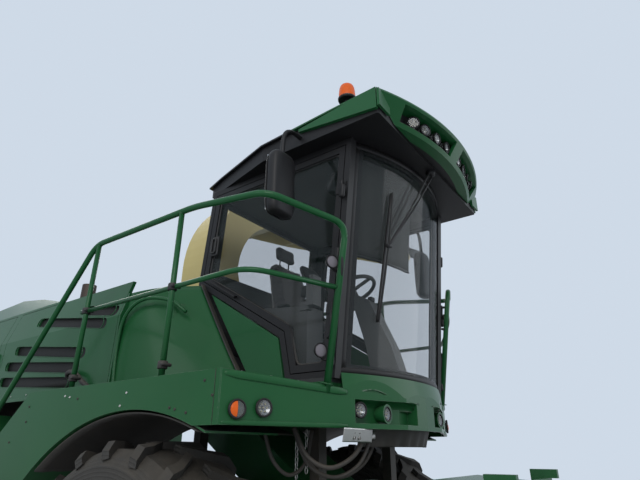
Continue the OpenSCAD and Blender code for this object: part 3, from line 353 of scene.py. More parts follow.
# %% Lay the floor
FLOOR_HALF, FLOOR_POINTS, FLOOR_Z = 30.0, 5, -0.001
HAZE_FROM, HAZE_FULL = 6.0, 22.0
floor_mesh = bpy.data.meshes.new("yard_floor")
side = np.linspace(-FLOOR_HALF, FLOOR_HALF, FLOOR_POINTS)
yard_x, yard_y = np.meshgrid(side, side, indexing="ij")
yard = np.stack([yard_x, yard_y, np.full_like(yard_x, FLOOR_Z)], -1)
floor_mesh.from_pydata(yard.reshape(-1, 3).tolist(), [], quads(FLOOR_POINTS, FLOOR_POINTS).tolist())
floor = bpy.data.objects.new("yard_floor", floor_mesh)
bpy.context.collection.objects.link(floor)
pale = bpy.data.materials.new("pale_floor")
pale.use_nodes = True
ground = pale.node_tree
concrete = ground.nodes["Principled BSDF"]
concrete.inputs["Base Color"].default_value = (0.60, 0.61, 0.62, 1.0)
concrete.inputs["Roughness"].default_value = 0.85
far_off = node(ground, "VectorMath", operation="LENGTH", Vector=node(ground, "TexCoord").outputs["Object"])
fade = node(ground, "MapRange", interpolation_type="SMOOTHSTEP", Value=far_off.outputs["Value"],
            From_Min=HAZE_FROM, From_Max=HAZE_FULL)
only_seen = maths(ground, "MULTIPLY", fade.outputs[0], node(ground, "LightPath").outputs["Is Camera Ray"])
haze = node(ground, "Emission", Color=PALE)
ground.links.new(mixed_shader(ground, only_seen, concrete, haze),
                 ground.nodes["Material Output"].inputs["Surface"])
floor_mesh.materials.append(pale)
print("floor", 2 * FLOOR_HALF, "m across")

# %% [markdown]
# ## Effects that several finishes share
# Dust, grain and worn edges happen to every surface of a machine that works outdoors, so each
# is one group of nodes with its own sockets. A group can be placed in any material and given
# other values there, as one would mix the same primer into several paints. All of them read
# Object coordinates, which are metres here, so a grain of 2 mm is 2 mm on every part.

# %% Node groups


def effect(name, ins, outs):
    """An empty node group with named sockets: name, kind and first value of each input, and
    name and kind of each output."""
    group = bpy.data.node_groups.new(name, "ShaderNodeTree")
    for label, kind, value in ins:
        socket = group.interface.new_socket(label, in_out="INPUT", socket_type="NodeSocket" + kind)
        if value is not None:
            socket.default_value = value
    for label, kind in outs:
        group.interface.new_socket(label, in_out="OUTPUT", socket_type="NodeSocket" + kind)
    return group, group.nodes.new("NodeGroupInput").outputs, group.nodes.new("NodeGroupOutput").inputs


def looks(tree, axis):
    """How far a face looks along an axis: the part of its normal that lies along it."""
    normal = node(tree, "NewGeometry").outputs["Normal"]
    return node(tree, "SeparateXYZ", Vector=normal).outputs[axis]


WHERE, COLOUR = ("Where", "Vector", None), ("Colour", "Color", (0.5, 0.5, 0.5, 1))

# Colour drift: sun and washing leave a paint a little lighter here and darker there
drift, given, result = effect("colour_drift", [WHERE, COLOUR, ("Amount", "Float", 0.1),
                                               ("Scale", "Float", 1.5)], [("Colour", "Color")])
cloud = node(drift, "TexNoise", Vector=given["Where"], Scale=given["Scale"], Detail=4.0)
lift = maths(drift, "MULTIPLY_ADD", maths(drift, "SUBTRACT", cloud.outputs["Fac"], 0.5),
             maths(drift, "MULTIPLY", given["Amount"], 2.0), 1.0)
tinted = node(drift, "HueSaturation", Value=lift, Color=given["Colour"])
drift.links.new(tinted.outputs[0], result[0])

# Dust: thick near the ground and on faces that look up, thin on clean sheet metal
dust, given, result = effect("settled_dust", [WHERE, COLOUR, ("Dust", "Color", (0.30, 0.25, 0.18, 1)),
                                              ("Amount", "Float", 0.3), ("Clean above", "Float", 2.6)],
                             [("Colour", "Color"), ("Share", "Float")])
height = node(dust, "SeparateXYZ", Vector=given["Where"]).outputs["Z"]
low = maths(dust, "SUBTRACT", 1.0, maths(dust, "DIVIDE", height, given["Clean above"], clamp=True))
tilt_up = maths(dust, "MAXIMUM", looks(dust, "Z"), 0.0)
patchy = node(dust, "TexNoise", Vector=given["Where"], Scale=7.0, Detail=8.0, Roughness=0.65)
laid = maths(dust, "ADD", maths(dust, "MULTIPLY", low, 0.8), maths(dust, "MULTIPLY", tilt_up, 0.45))
share = maths(dust, "MULTIPLY", maths(dust, "MULTIPLY", laid, given["Amount"]),
              maths(dust, "MULTIPLY", patchy.outputs["Fac"], 2.0), clamp=True)
dust.links.new(blended(dust, share, given["Colour"], given["Dust"]), result[0])
dust.links.new(share, result[1])

# Worn edges: a rounded shading normal leaves the flat one only near an edge, and the paint
# is thin there; noise breaks the line up
worn, given, result = effect("worn_edges", [WHERE, COLOUR, ("Bare", "Color", (0.35, 0.35, 0.34, 1)),
                                            ("Amount", "Float", 0.5), ("Width", "Float", 0.004)],
                             [("Colour", "Color"), ("Share", "Float")])
rounded = node(worn, "Bevel", samples=4, Radius=given["Width"])
apart = node(worn, "VectorMath", operation="DOT_PRODUCT")
worn.links.new(rounded.outputs[0], apart.inputs[0])
worn.links.new(node(worn, "NewGeometry").outputs["Normal"], apart.inputs[1])
edge = maths(worn, "MULTIPLY", maths(worn, "SUBTRACT", 1.0, apart.outputs["Value"]), 4.0, clamp=True)
chips = node(worn, "TexNoise", Vector=given["Where"], Scale=38.0, Detail=6.0, Roughness=0.7)
broken = maths(worn, "MULTIPLY", maths(worn, "SUBTRACT", chips.outputs["Fac"], 0.42), 6.0, clamp=True)
share = maths(worn, "MULTIPLY", maths(worn, "MULTIPLY", edge, given["Amount"]), broken)
worn.links.new(blended(worn, share, given["Colour"], given["Bare"]), result[0])
worn.links.new(share, result[1])

# Grain: the fine unevenness of sprayed paint, cast metal or moulded plastic, as a normal
grain, given, result = effect("fine_grain", [WHERE, ("Scale", "Float", 300.0), ("Depth", "Float", 0.0002)],
                              [("Normal", "Vector")])
speck = node(grain, "TexNoise", Vector=given["Where"], Scale=given["Scale"], Detail=2.0)
raised = node(grain, "Bump", Distance=given["Depth"], Height=speck.outputs["Fac"], Strength=1.0)
grain.links.new(raised.outputs[0], result[0])
print("effects", [g.name for g in bpy.data.node_groups])

# %% [markdown]
# ## Finishes
# A finish is a colour that passes through those effects into one Principled shader. Each
# constant, such as the coat of a sprayed paint, sits on the shader's own socket. The paint's
# green is written as it would be measured in daylight: a deep green whose gloss is a clear
# coat over the colour, and which goes matt where dust lies.

# %% Build a finish


def finish(name, colour, rough=0.5, dusty=0.3, drifting=0.12, wear=0.0, bare=(0.33, 0.33, 0.32),
           grain_scale=260.0, grain_depth=0.0001, clean_above=2.6, **constants):
    """One material: colour > drift > worn edges > dust > shader, roughness rising with the
    dust, and a fine grain in the normal."""
    made = bpy.data.materials.new(name)
    made.use_nodes = True
    tree = made.node_tree
    shader = tree.nodes["Principled BSDF"]
    at = node(tree, "TexCoord").outputs["Object"]
    first = colour(tree, at) if callable(colour) else (*colour, 1.0)

    def laid_on(group, **values):
        return node(tree, "Group", node_tree=group, Where=at, **values)

    last = laid_on(drift, Colour=first, Amount=drifting).outputs[0]
    if wear:
        last = laid_on(worn, Colour=last, Amount=wear, Bare=(*bare, 1.0)).outputs[0]
    dirt = laid_on(dust, Colour=last, Amount=dusty, Clean_above=clean_above)
    tree.links.new(dirt.outputs[0], shader.inputs["Base Color"])
    tree.links.new(maths(tree, "MULTIPLY_ADD", dirt.outputs[1], 0.6, rough, clamp=True),
                   shader.inputs["Roughness"])
    if grain_depth:
        skin = laid_on(grain, Scale=grain_scale, Depth=grain_depth)
        tree.links.new(skin.outputs[0], shader.inputs["Normal"])
    for key, value in constants.items():
        shader.inputs[key.replace("_", " ")].default_value = value
    return made


GREEN, BLACK, DARK_PLATE = (0.009, 0.078, 0.024), (0.007, 0.007, 0.008), (0.030, 0.033, 0.034)
paint = finish("green_paint", GREEN, rough=0.34, dusty=0.05, wear=0.35, Coat_Weight=0.08,
               Coat_Roughness=0.10, Specular_IOR_Level=0.18)
trim = finish("black_trim", BLACK, rough=0.5, dusty=0.06, grain_scale=520.0,
              grain_depth=0.00025, Specular_IOR_Level=0.28)
chassis_black = finish("chassis_black", (0.010, 0.011, 0.011), rough=0.5, dusty=0.35, wear=0.5,
                       bare=(0.16, 0.10, 0.07), Specular_IOR_Level=0.3)
rim_yellow = finish("rim_yellow", (0.60, 0.40, 0.05), rough=0.34, dusty=0.25, wear=0.4, Coat_Weight=0.4)
spout_yellow = finish("spout_yellow", (0.50, 0.42, 0.16), rough=0.42, dusty=0.30, wear=0.5,
                      clean_above=6.0)
steel = finish("bright_steel", (0.46, 0.46, 0.45), rough=0.30, dusty=0.4, Metallic=1.0)
worn_steel = finish("worn_steel", (0.17, 0.165, 0.155), rough=0.42, dusty=0.5, drifting=0.5, Metallic=1.0)
cast = finish("cast_grey", (0.055, 0.057, 0.056), rough=0.6, dusty=0.5, grain_scale=160.0,
              grain_depth=0.0006)
rubber = finish("soft_rubber", (0.011, 0.011, 0.012), rough=0.62, dusty=0.25, grain_scale=420.0)
cloth_weave = finish("seat_weave", (0.035, 0.036, 0.040), rough=0.9, dusty=0.05, grain_scale=900.0,
                     grain_depth=0.0006, Sheen_Weight=0.4)
amber = finish("amber_lens", (0.62, 0.10, 0.006), rough=0.25, dusty=0.02, drifting=0.05,
               Specular_IOR_Level=0.3)
burnt = finish("burnt_pipe", (0.060, 0.045, 0.036), rough=0.55, dusty=0.2, wear=0.4,
               bare=(0.20, 0.09, 0.04), Metallic=0.6)
red = finish("red_lens", (0.45, 0.008, 0.006), rough=0.16, dusty=0.03, Coat_Weight=0.8)
print("finishes", len(bpy.data.materials))

# %% [markdown]
# ## Finishes that need a pattern of their own
# Some surfaces carry a pattern that is too fine to model. The sprayed decks are green on
# their outer skirts and dark anti-slip plate on top, so the colour follows the place on the
# machine, and so does that of the roof. A tyre's side wall has fine moulded rings, which are
# waves of the distance from the axle. A punched screen is two waves multiplied.

# %% Patterns
SKIRT_Y, DECK_Z = 1.3975, 2.13
UPRIGHT = 0.5  # a face that looks up by less than this is a wall


def deck_colour(tree, at):
    """Green where the distance from the middle line passes the skirt's inner face, and on
    walls below the deck; dark plate on the walking surface."""
    spot = node(tree, "SeparateXYZ", Vector=at)
    out = maths(tree, "GREATER_THAN", maths(tree, "ABSOLUTE", spot.outputs["Y"]), SKIRT_Y)
    wall = maths(tree, "LESS_THAN", looks(tree, "Z"), UPRIGHT)
    low = maths(tree, "LESS_THAN", spot.outputs["Z"], DECK_Z - 0.02)
    green = maths(tree, "MAXIMUM", out, maths(tree, "MULTIPLY", wall, low))
    return blended(tree, green, (*DARK_PLATE, 1.0), (*GREEN, 1.0))


platform_finish = finish("deck_and_skirts", deck_colour, rough=0.40, dusty=0.07, wear=0.35,
                         Coat_Weight=0.06, Coat_Roughness=0.15, Specular_IOR_Level=0.16)


ROOF_BLACK_X = 0.80


def roof_colour(tree, at):
    """The roof's shell is green on top and along its front wings, and black on its sides
    further back."""
    rear = maths(tree, "LESS_THAN", node(tree, "SeparateXYZ", Vector=at).outputs["X"], ROOF_BLACK_X)
    black = maths(tree, "MULTIPLY", rear, maths(tree, "LESS_THAN", looks(tree, "Z"), UPRIGHT))
    return blended(tree, black, (*GREEN, 1.0), (*BLACK, 1.0))


roof_finish = finish("roof_shell", roof_colour, rough=0.38, dusty=0.04, wear=0.3, Coat_Weight=0.12,
                     Coat_Roughness=0.12, Specular_IOR_Level=0.22)
FRONT_AXLE, REAR_AXLE = (0.0, 0.9), (-3.2, 0.7)  # x and z
RINGS_PER_METRE = 150.0 / math.pi


def tyre_finish(name, axle):
    """Rubber with moulded rings: the height is a wave of the distance from the axle, seen
    only on the side walls, where the face looks sideways."""
    made = finish(name, (0.010, 0.0105, 0.011), rough=0.72, dusty=0.16, drifting=0.2,
                  grain_scale=190.0, grain_depth=0.0008, clean_above=3.0)
    tree = made.node_tree
    shader = tree.nodes["Principled BSDF"]
    spot = node(tree, "SeparateXYZ", Vector=tree.nodes["Texture Coordinate"].outputs["Object"])
    across = maths(tree, "SUBTRACT", spot.outputs["X"], axle[0])
    height = maths(tree, "SUBTRACT", spot.outputs["Z"], axle[1])
    radius = maths(tree, "SQRT", maths(tree, "ADD", maths(tree, "MULTIPLY", across, across),
                                       maths(tree, "MULTIPLY", height, height)))
    wave = maths(tree, "SINE", maths(tree, "MULTIPLY", radius, RINGS_PER_METRE * math.pi))
    ring = maths(tree, "POWER", maths(tree, "ABSOLUTE", wave), 6.0)
    seen_from_side = maths(tree, "GREATER_THAN", maths(tree, "ABSOLUTE", looks(tree, "Y")), 0.8)
    raised = node(tree, "Bump", Distance=0.003, Strength=0.8,
                  Height=maths(tree, "MULTIPLY", ring, seen_from_side),
                  Normal=shader.inputs["Normal"].links[0].from_socket)
    tree.links.new(raised.outputs[0], shader.inputs["Normal"])
    return made


front_rubber = tyre_finish("front_tyre_rubber", FRONT_AXLE)
rear_rubber = tyre_finish("rear_tyre_rubber", REAR_AXLE)


def clear_finish(name, tint, rough, see_through, **constants):
    """Sheet glass seen as a tinted, reflecting skin: the shader lets a share of the light
    straight through, which thin glazing does, and keeps a faint film of dust."""
    made = finish(name, tint, rough=rough, dusty=0.10, drifting=0.05, grain_depth=0.0, **constants)
    shader = made.node_tree.nodes["Principled BSDF"]
    shader.inputs["Alpha"].default_value = see_through
    return made


pane = clear_finish("tinted_pane", (0.022, 0.034, 0.033), 0.03, 0.15, Specular_IOR_Level=0.7)
lamp_glass = clear_finish("lamp_glass", (0.20, 0.21, 0.22), 0.05, 0.35, Specular_IOR_Level=0.8)
mirror_face = finish("mirror_face", (0.78, 0.80, 0.82), rough=0.03, dusty=0.05, drifting=0.02,
                     grain_depth=0.0, Metallic=1.0)
reflector = finish("lamp_reflector", (0.30, 0.31, 0.32), rough=0.16, dusty=0.02, drifting=0.03,
                   grain_depth=0.0, Metallic=1.0)
frosted = finish("frosted_lens", (0.15, 0.14, 0.16), rough=0.30, dusty=0.12, drifting=0.60,
                 Specular_IOR_Level=0.6)
led = finish("lamp_chip", (0.40, 0.38, 0.22), rough=0.25, dusty=0.0, drifting=0.02)


HOLE_WAVE = 500.0  # radians a metre


def mesh_colour(tree, at):
    """A punched screen behind the slots: dark holes on a grid about 9 mm apart, turned with
    the sheet, from two waves multiplied."""
    turned_at = node(tree, "Mapping", Vector=at, Rotation=(0.0, math.radians(45), 0.0))
    spot = node(tree, "SeparateXYZ", Vector=turned_at.outputs[0])
    one = maths(tree, "SINE", maths(tree, "MULTIPLY", spot.outputs["X"], HOLE_WAVE))
    two = maths(tree, "SINE", maths(tree, "MULTIPLY", spot.outputs["Z"], HOLE_WAVE))
    hole = maths(tree, "GREATER_THAN", maths(tree, "MULTIPLY", one, two), 0.15)
    return blended(tree, hole, (0.020, 0.021, 0.021, 1.0), (0.002, 0.002, 0.002, 1.0))


screen = finish("punched_screen", mesh_colour, rough=0.6, dusty=0.08, Specular_IOR_Level=0.2)
lining = finish("cab_lining", (0.030, 0.031, 0.033), rough=0.75, dusty=0.05, grain_scale=320.0,
                grain_depth=0.0004)
cover = finish("console_cover", (0.075, 0.078, 0.080), rough=0.55, dusty=0.06, grain_scale=420.0,
               grain_depth=0.0003)
print("finishes", len(bpy.data.materials))

# %% [markdown]
# ## The solid parts get their finishes
# The parts that came in with the frame are right in shape, so they only need their skins.
# A table keeps it readable: a finish, then every part that wears it.

# %% Dress the parts
WEARS = [
    (paint, "cutter_housing feed_housing cab_quarters roof_visor louvre_panels fascia "
            "left_service_door right_service_door body_shell handrails"),
    (platform_finish, "platforms"),
    (roof_finish, "roof_panels"),
    (chassis_black, "frame front_axle rear_axle left_knuckle right_knuckle spout_turret"),
    (rim_yellow, "front_left_rim front_right_rim rear_left_rim rear_right_rim"),
    (spout_yellow, "spout_elbow spout_arm"),
    (trim, "spout_flap left_lift_barrel right_lift_barrel spout_barrel cab_frame cab_roof left_door "
           "right_door rear_door mirrors wipers tanks"),
    (front_rubber, "front_left_tyre front_right_tyre"),
    (rear_rubber, "rear_left_tyre rear_right_tyre"),
    (steel, "tie_rod left_lift_rod right_lift_rod spout_rod"),
    (burnt, "exhaust"),
    (pane, "windscreen cab_glass left_door_glass right_door_glass"),
    (cover, "console"),
    (lamp_glass, "lamps"),
    (cast, "engine"),
    (worn_steel, "cutterhead roll_lower_front roll_lower_rear roll_upper_front roll_upper_rear"),
    (amber, "amber_lamps"),
    (cloth_weave, "seat"),
]
dressed = set()
for skin, names in WEARS:
    for name in names.split():
        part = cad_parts[name]
        for spot in part.material_slots:
            spot.material = skin
        dressed.add(name)
print("still bare:", sorted(set(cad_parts) - dressed))

# %% [markdown]
# ## The windscreen's own surface
# The windscreen is part of a cylinder that leans forward by six degrees. Everything that
# touches it, its dark border, the wiper and the sun blind, has to follow that surface. One
# function gives the point at any angle and height, and any distance off the glass, so each
# of those pieces is laid on it like a map on a globe.

# %% A function for the curved glass
FOOT_X, GLASS_R, LEAN = -0.2486, 1.45, math.radians(6.0)


def on_glass(angle, height, off=0.0):
    """A point on the leaning cylinder: on an upright one it would be (R cos a, R sin a, h);
    leaning turns x and h by six degrees, and h is chosen so that the height comes out."""
    a, r = np.radians(angle), GLASS_R + off
    h = (height - DECK_Z + r * np.cos(a) * math.sin(LEAN)) / math.cos(LEAN)
    x = FOOT_X + r * np.cos(a) * math.cos(LEAN) + h * math.sin(LEAN)
    return np.stack(np.broadcast_arrays(x, r * np.sin(a), height), -1)


def skin_patch(surface, us, vs, low, high):
    """A sheet of even thickness on a surface, from one distance off it to another."""
    u, v = np.meshgrid(us, vs, indexing="ij")
    return closed_sheet(surface(u, v, high), surface(u, v, low), shut=True)


span = np.linspace
STRIP = (0.0004, 0.0026)  # off the glass, from and to
border = joined([skin_patch(on_glass, span(*across, n), span(*upwards, m), *STRIP)
                 for across, n, upwards, m in (((-29.0, 29.0), 60, (2.163, 2.200), 3),
                                               ((-29.0, 29.0), 60, (3.672, 3.712), 3),
                                               ((-29.05, -27.5), 3, (2.196, 3.676), 30),
                                               ((27.5, 29.05), 3, (2.196, 3.676), 30))])
piece("screen_border", *border, "chassis", trim, "black_plastic")
print("border points", len(border[0]))

# %% [markdown]
# ## Sun blind
# A roller blind hangs inside the glass on the driver's right. It is a thin film held straight
# by a bar, so it is the same surface again, a few centimetres inside, with a shallow ripple.

# %% Hang the blind
film = finish("blind_film", (0.034, 0.036, 0.036), rough=0.75, dusty=0.10, drifting=0.15,
              grain_scale=900.0, grain_depth=0.0001, Specular_IOR_Level=0.2)
BLIND_ANGLES = (-28.0, -4.0)


def behind_glass(angle, height, off=0.0):
    """The glass surface 50 mm further in, rippled by 2 mm waves along the angle."""
    return on_glass(angle, height, off - 0.050 + 0.002 * np.sin(angle * 1.3))


blind = skin_patch(behind_glass, span(*BLIND_ANGLES, 60), span(2.925, 3.64, 12), -0.0008, 0.0008)
piece("sun_blind", *blind, "chassis", film, "black_plastic")
bar, roll = [swept(behind_glass(span(*BLIND_ANGLES, 30), np.full(30, z)), circle(r, sides))
             for z, r, sides in ((2.92, 0.009, 12), (3.655, 0.024, 16))]
piece("blind_bar", *joined([bar, roll]), "chassis", trim, "black_plastic")
print("blind points", len(blind[0]))

# %% [markdown]
# ## Wiper
# A windscreen wiper this tall has a blade of rubber in a sprung spine, held by a pair of
# parallel arms, so that it stays upright as it sweeps. The blade follows the glass; the arms
# are tubes from its middle up to the motor under the roof.

# %% Build the wiper
BLADE_Z, BLADE_POINTS = (2.49, 3.41), 40
heights = span(*BLADE_Z, BLADE_POINTS)
blade_angle = -19.2 + 3.1 * span(0, 1, BLADE_POINTS)
blade_path = on_glass(blade_angle, heights, 0.014)
blade_section = np.array([(-0.012, -0.003), (-0.012, 0.003), (0.0, 0.006), (0.006, 0.009), (0.006, -0.009),
                          (0.0, -0.006)])
outward = unit(blade_path[20] - [FOOT_X + 0.16, 0.0, blade_path[20, 2]])
blade = swept(blade_path, blade_section, up=outward)
arch_off = 0.026 + 0.016 * np.sin(span(0, np.pi, BLADE_POINTS))
spine = swept(on_glass(blade_angle, heights, arch_off), circle(0.0065, 8))
middle, motor = on_glass(-17.6, 3.0, 0.046), np.array([1.455, -0.02, 3.715])
arms = []
for side in (-1, 1):
    start = middle + [0.0, 0.022 * side, 0.02 * side]
    end = motor + [0.0, 0.0308 * side, -0.015]
    bow = (start + end) / 2 + 0.020 * X_AXIS
    arms.append(swept(curve([start, bow, end], 20), circle(0.007, 8)))


def pin(radius, half, back, down, bore=0.0):
    """Profile of a round pin, or with a bore of a collar, about its middle: the edges are
    broken by a bevel that goes back along the ends and down along the side."""
    edge = [(bore, half), (radius - back, half), (radius, half - down)]
    return [(r, -h) for r, h in edge] + edge[::-1]


hub = turned([(0, -0.030), (0.030, -0.030), (0.036, -0.022), (0.036, 0.016), (0.028, 0.026), (0, 0.026)],
             motor + 0.004 * Z_AXIS, (0.2, 0.0, 1.0), 24)
clip = turned(pin(0.014, 0.030, 0.004, 0.008), middle, (0.15, 1.0, 0.1), 16)
wiper = piece("wiper", *joined([blade, spine, *arms, hub, clip]), "chassis", trim, "black_plastic")
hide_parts("wipers")
print("blade", round(float(np.linalg.norm(blade_path[-1] - blade_path[0])), 3), "m")

# %% [markdown]
# ## Doors: seals, handles, hinges
# The door's glass sits in a rubber seal. The seal is a thin bead carried round the outline
# of the pane; rounded corners come from replacing each corner by a short arc before the
# bead is swept.

# %% Seals and handles on the doors
PANE = np.array([(0.757, 2.2243), (0.959, 2.2243), (1.1057, 3.624), (-0.057, 3.624), (-0.121, 2.968),
                 (0.690, 2.482)])
PLATE = np.array([(-0.112, 3.135), (-0.030, 3.130), (-0.022, 3.290), (-0.100, 3.292)])
GRIP = np.array([(-0.092, 3.155), (-0.050, 3.152), (-0.044, 3.270), (-0.084, 3.272)])
SEAL_Y, PLATE_Y, STAY_Y, GRIP_Y, HINGE_Y = 0.7515, 0.772, 0.780, 0.792, 0.806
HINGE_FOOT = (1.031, 2.178)  # x and z


def arcs(before, corners, after, steps):
    """A quadratic arc past each corner: (1-t)^2 before + 2t(1-t) corner + t^2 after."""
    t = span(0, 1, steps)[None, :, None]
    line = (1 - t) ** 2 * before[:, None] + 2 * t * (1 - t) * corners[:, None] + t ** 2 * after[:, None]
    return line.reshape(-1, corners.shape[1])


def rounded_outline(corners, radius, steps=6):
    """Each corner gives way to an arc between the points a radius before and after it."""
    before = corners + unit(np.roll(corners, 1, 0) - corners) * radius
    after = corners + unit(np.roll(corners, -1, 0) - corners) * radius
    return arcs(before, corners, after, steps)


def in_plane(outline, y):
    """A flat outline (x, z) stood up at a distance y from the middle line."""
    return xyz(outline[:, 0], y, outline[:, 1])


seal = swept(in_plane(rounded_outline(PANE, 0.045), SEAL_Y), circle(0.008, 8), up=Y_AXIS, ring=True)
plate = slab(in_plane(rounded_outline(PLATE, 0.02), PLATE_Y), 0.012 * Y_AXIS, 0.004)
grip = swept(in_plane(rounded_outline(GRIP, 0.018), GRIP_Y), circle(0.0075, 8), up=Y_AXIS, ring=True)
stays = joined([turned([(0, 0), (0.006, 0), (0.006, 0.016), (0, 0.016)], (x, STAY_Y, z), Y_AXIS, 10)
                for x, z in ((-0.0705, 3.156), (-0.064, 3.270))])
hinge_line = np.array([math.sin(LEAN), 0.0, math.cos(LEAN)])
hinge_parts = [turned(pin(0.016, 0.045, 0.003, 0.007),
                      (HINGE_FOOT[0] + (z - HINGE_FOOT[1]) * math.tan(LEAN), HINGE_Y, z), hinge_line, 16)
               for z in (2.42, 2.86, 3.30)]
door_trim = joined([seal, plate, grip, stays])
piece("left_door_trim", *door_trim, "left_cab_door", rubber, "black_plastic")
piece("right_door_trim", *mirrored(door_trim), "right_cab_door", rubber, "black_plastic")
piece("pillar_hinges", *both(joined(hinge_parts)), "chassis", trim, "black_plastic")
print("seal and handle points", len(door_trim[0]))

# %% [markdown]
# ## Mirrors
# The mirror's shell is a moulded form, full in the middle and rounded at its ends. A
# superellipse does this well: with an exponent of four it is a rectangle with soft corners,
# and letting its size follow another one along the height rounds the ends too. The glass on
# the rear is a slightly domed sheet inside the shell's rim.

# %% Mould the mirrors
MIRROR = np.array([0.856, 1.08, 3.315])


def superellipse(half_x, half_y, power, sides=40):
    """Points where |x/a|^n + |y/b|^n = 1: the signed 2/n-th power of cosine and sine."""
    t = span(0, 2 * np.pi, sides, endpoint=False)
    c, s = np.cos(t), np.sin(t)
    return np.stack([half_x * np.sign(c) * np.abs(c) ** (2 / power),
                     half_y * np.sign(s) * np.abs(s) ** (2 / power)], -1)


rise = span(-1, 1, 41)[:, None]
taper = np.maximum((1 - np.abs(rise) ** 6) ** (1 / 6), 0.02)
shell_x, shell_y = superellipse(0.050, 0.108, 3.2).T
shell = grid_of(drawn_in(MIRROR + xyz(shell_x * taper, shell_y * taper, 0.228 * rise)), (False, True))
rim_path = MIRROR + xyz(-0.040, *superellipse(0.100, 0.218, 5.0, 64).T)
rim = swept(rim_path, circle(0.0055, 8), up=X_AXIS, ring=True)
arm_path = curve([(0.856, 0.896, 3.782), (0.856, 0.975, 3.780), (0.856, 1.040, 3.745), (0.856, 1.070, 3.675),
                  (0.856, 1.080, 3.520)], 28)
arm = swept(arm_path, circle(0.0155, 12), up=X_AXIS)
mirror_piece = piece("mirror_shells", *both(joined([shell, rim, arm])), "chassis", trim, "black_plastic")
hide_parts("mirrors")
across, along = np.meshgrid(span(-0.088, 0.088, 12), span(-0.200, 0.200, 16), indexing="ij")
dome = -0.0508 + 0.002 * ((across / 0.088) ** 2 + (along / 0.200) ** 2) / 2
face = MIRROR + xyz(dome, across, along)
piece("mirror_faces", *both(closed_sheet(face, face + 0.004 * X_AXIS)), "chassis", mirror_face, "glass")
print("mirror points", len(shell[0]) + len(rim[0]) + len(arm[0]))

# %% [markdown]
# ## Work lamps
# A lamp is a bowl with a mirror finish, light chips in its depth, a clear lens over it and
# a dark ring round the lens. The solid part is the lens here. The bowl is a parabola turned
# about the lamp's axis, which is the shape that sends light out in one direction.

# %% Fill the lamps
ROOF_C, ROOF_R, ROOF_LAMP_Z = -0.3186, 2.0336, 3.822
DOWNWARD = (0.978, -0.208)  # the roof lamps look down by 12 degrees: cosine and sine
SIDE_TURN = math.radians(21.06)  # the front panel's outer part faces outward by this
ahead = np.array([math.cos(SIDE_TURN), math.sin(SIDE_TURN), 0.0])
aside = np.array([-math.sin(SIDE_TURN), math.cos(SIDE_TURN), 0.0])
INDICATOR = np.array([0.84886, 1.33351, 1.936])
LAMPS = []  # front centre, direction, radius, depth
for angle, azimuth, depth in ((3.4, 0, 0.040), (7.7, 8, 0.040), (12.0, 28, 0.036), (15.9, 55, 0.026)):
    a, b, r = math.radians(angle), math.radians(azimuth), ROOF_R - 0.072
    LAMPS.append(((ROOF_C + r * math.cos(a), r * math.sin(a), ROOF_LAMP_Z),
                  (math.cos(b) * DOWNWARD[0], math.sin(b) * DOWNWARD[0], DOWNWARD[1]), 0.038, depth))
inner_turn = math.radians(20.1)
LAMPS += [((1.097, 0.581, 1.964), (math.cos(inner_turn), math.sin(inner_turn), 0.0), 0.040, 0.030),
          ((1.172, 0.399, 1.948), X_AXIS, 0.040, 0.025),
          ((0.9012, 1.1975, 1.947), ahead, 0.040, 0.018)]
bezels, bowls, chips = [], [], []
for at, way, r, depth in LAMPS:
    at, way = np.array(at), unit(way)
    bezels.append(turned([(r + 0.0005, -0.012), (r + 0.006, -0.010), (r + 0.007, 0.001), (r + 0.003, 0.005),
                          (r - 0.003, 0.004), (r - 0.003, 0.0005)], at, way, 40, ring=True))
    t = span(0.0, 1.0, 12)
    bowl = np.stack([(r - 0.004) * np.sqrt(np.maximum(t, 0.02)), depth * (0.80 * t - 0.92)], -1)
    bowl = np.concatenate([bowl, (bowl + [0.0015, -0.001])[::-1]])
    bowls.append(turned(bowl, at, way, 40, ring=True))
    side_way = unit(np.cross(way, Z_AXIS))
    up_way = np.cross(side_way, way)
    ring = [0.5 * r * (c * side_way + s * up_way) for c, s in circle(1.0, 6)]
    chips += [turned([(0, -0.002), (0.0055, -0.002), (0.0055, 0.001), (0.003, 0.004), (0, 0.005)],
                     at - 0.5 * depth * way + off, way, 10) for off in [*ring, np.zeros(3)]]
bezels.append(turned([(0.0405, -0.014), (0.047, -0.012), (0.048, 0.000), (0.044, 0.004), (0.038, 0.003),
                      (0.038, 0.0005)], INDICATOR, ahead, 40, ring=True))
piece("lamp_bezels", *both(joined(bezels)), "chassis", trim, "black_plastic")
piece("lamp_bowls", *both(joined(bowls)), "chassis", reflector, "steel")
piece("lamp_chips", *both(joined(chips)), "chassis", led, "lamp_clear")
print("lamps a side", len(LAMPS))

# %% [markdown]
# ## Beacons and indicators
# A beacon's lens is a dome with fine upright ribs that spread the light. It is turned about
# its axis, but the radius also rises and falls with the angle, forty times round. The front
# indicators are a round lamp cut in half: amber outside, clear inside, so the disc is
# worked out over half a turn only.

# %% Turn the amber lenses
BEACON, RIBS = np.array([1.187, 0.780, 4.044]), 40
turn = span(0, 2 * np.pi, 4 * RIBS, endpoint=False)[:, None]
r, h = np.array([(0.0, 0.126), (0.020, 0.1245), (0.036, 0.119), (0.047, 0.108), (0.053, 0.092),
                 (0.056, 0.070), (0.058, 0.040), (0.0595, 0.010), (0.0595, 0.001), (0.0, 0.001)]).T
ribbed = r * (1 + 0.010 * np.cos(RIBS * turn) * (r > 0.05))
beacon = grid_of(BEACON + xyz(ribbed * np.cos(turn), ribbed * np.sin(turn), h), (True, False))
HALF_R = 0.0385


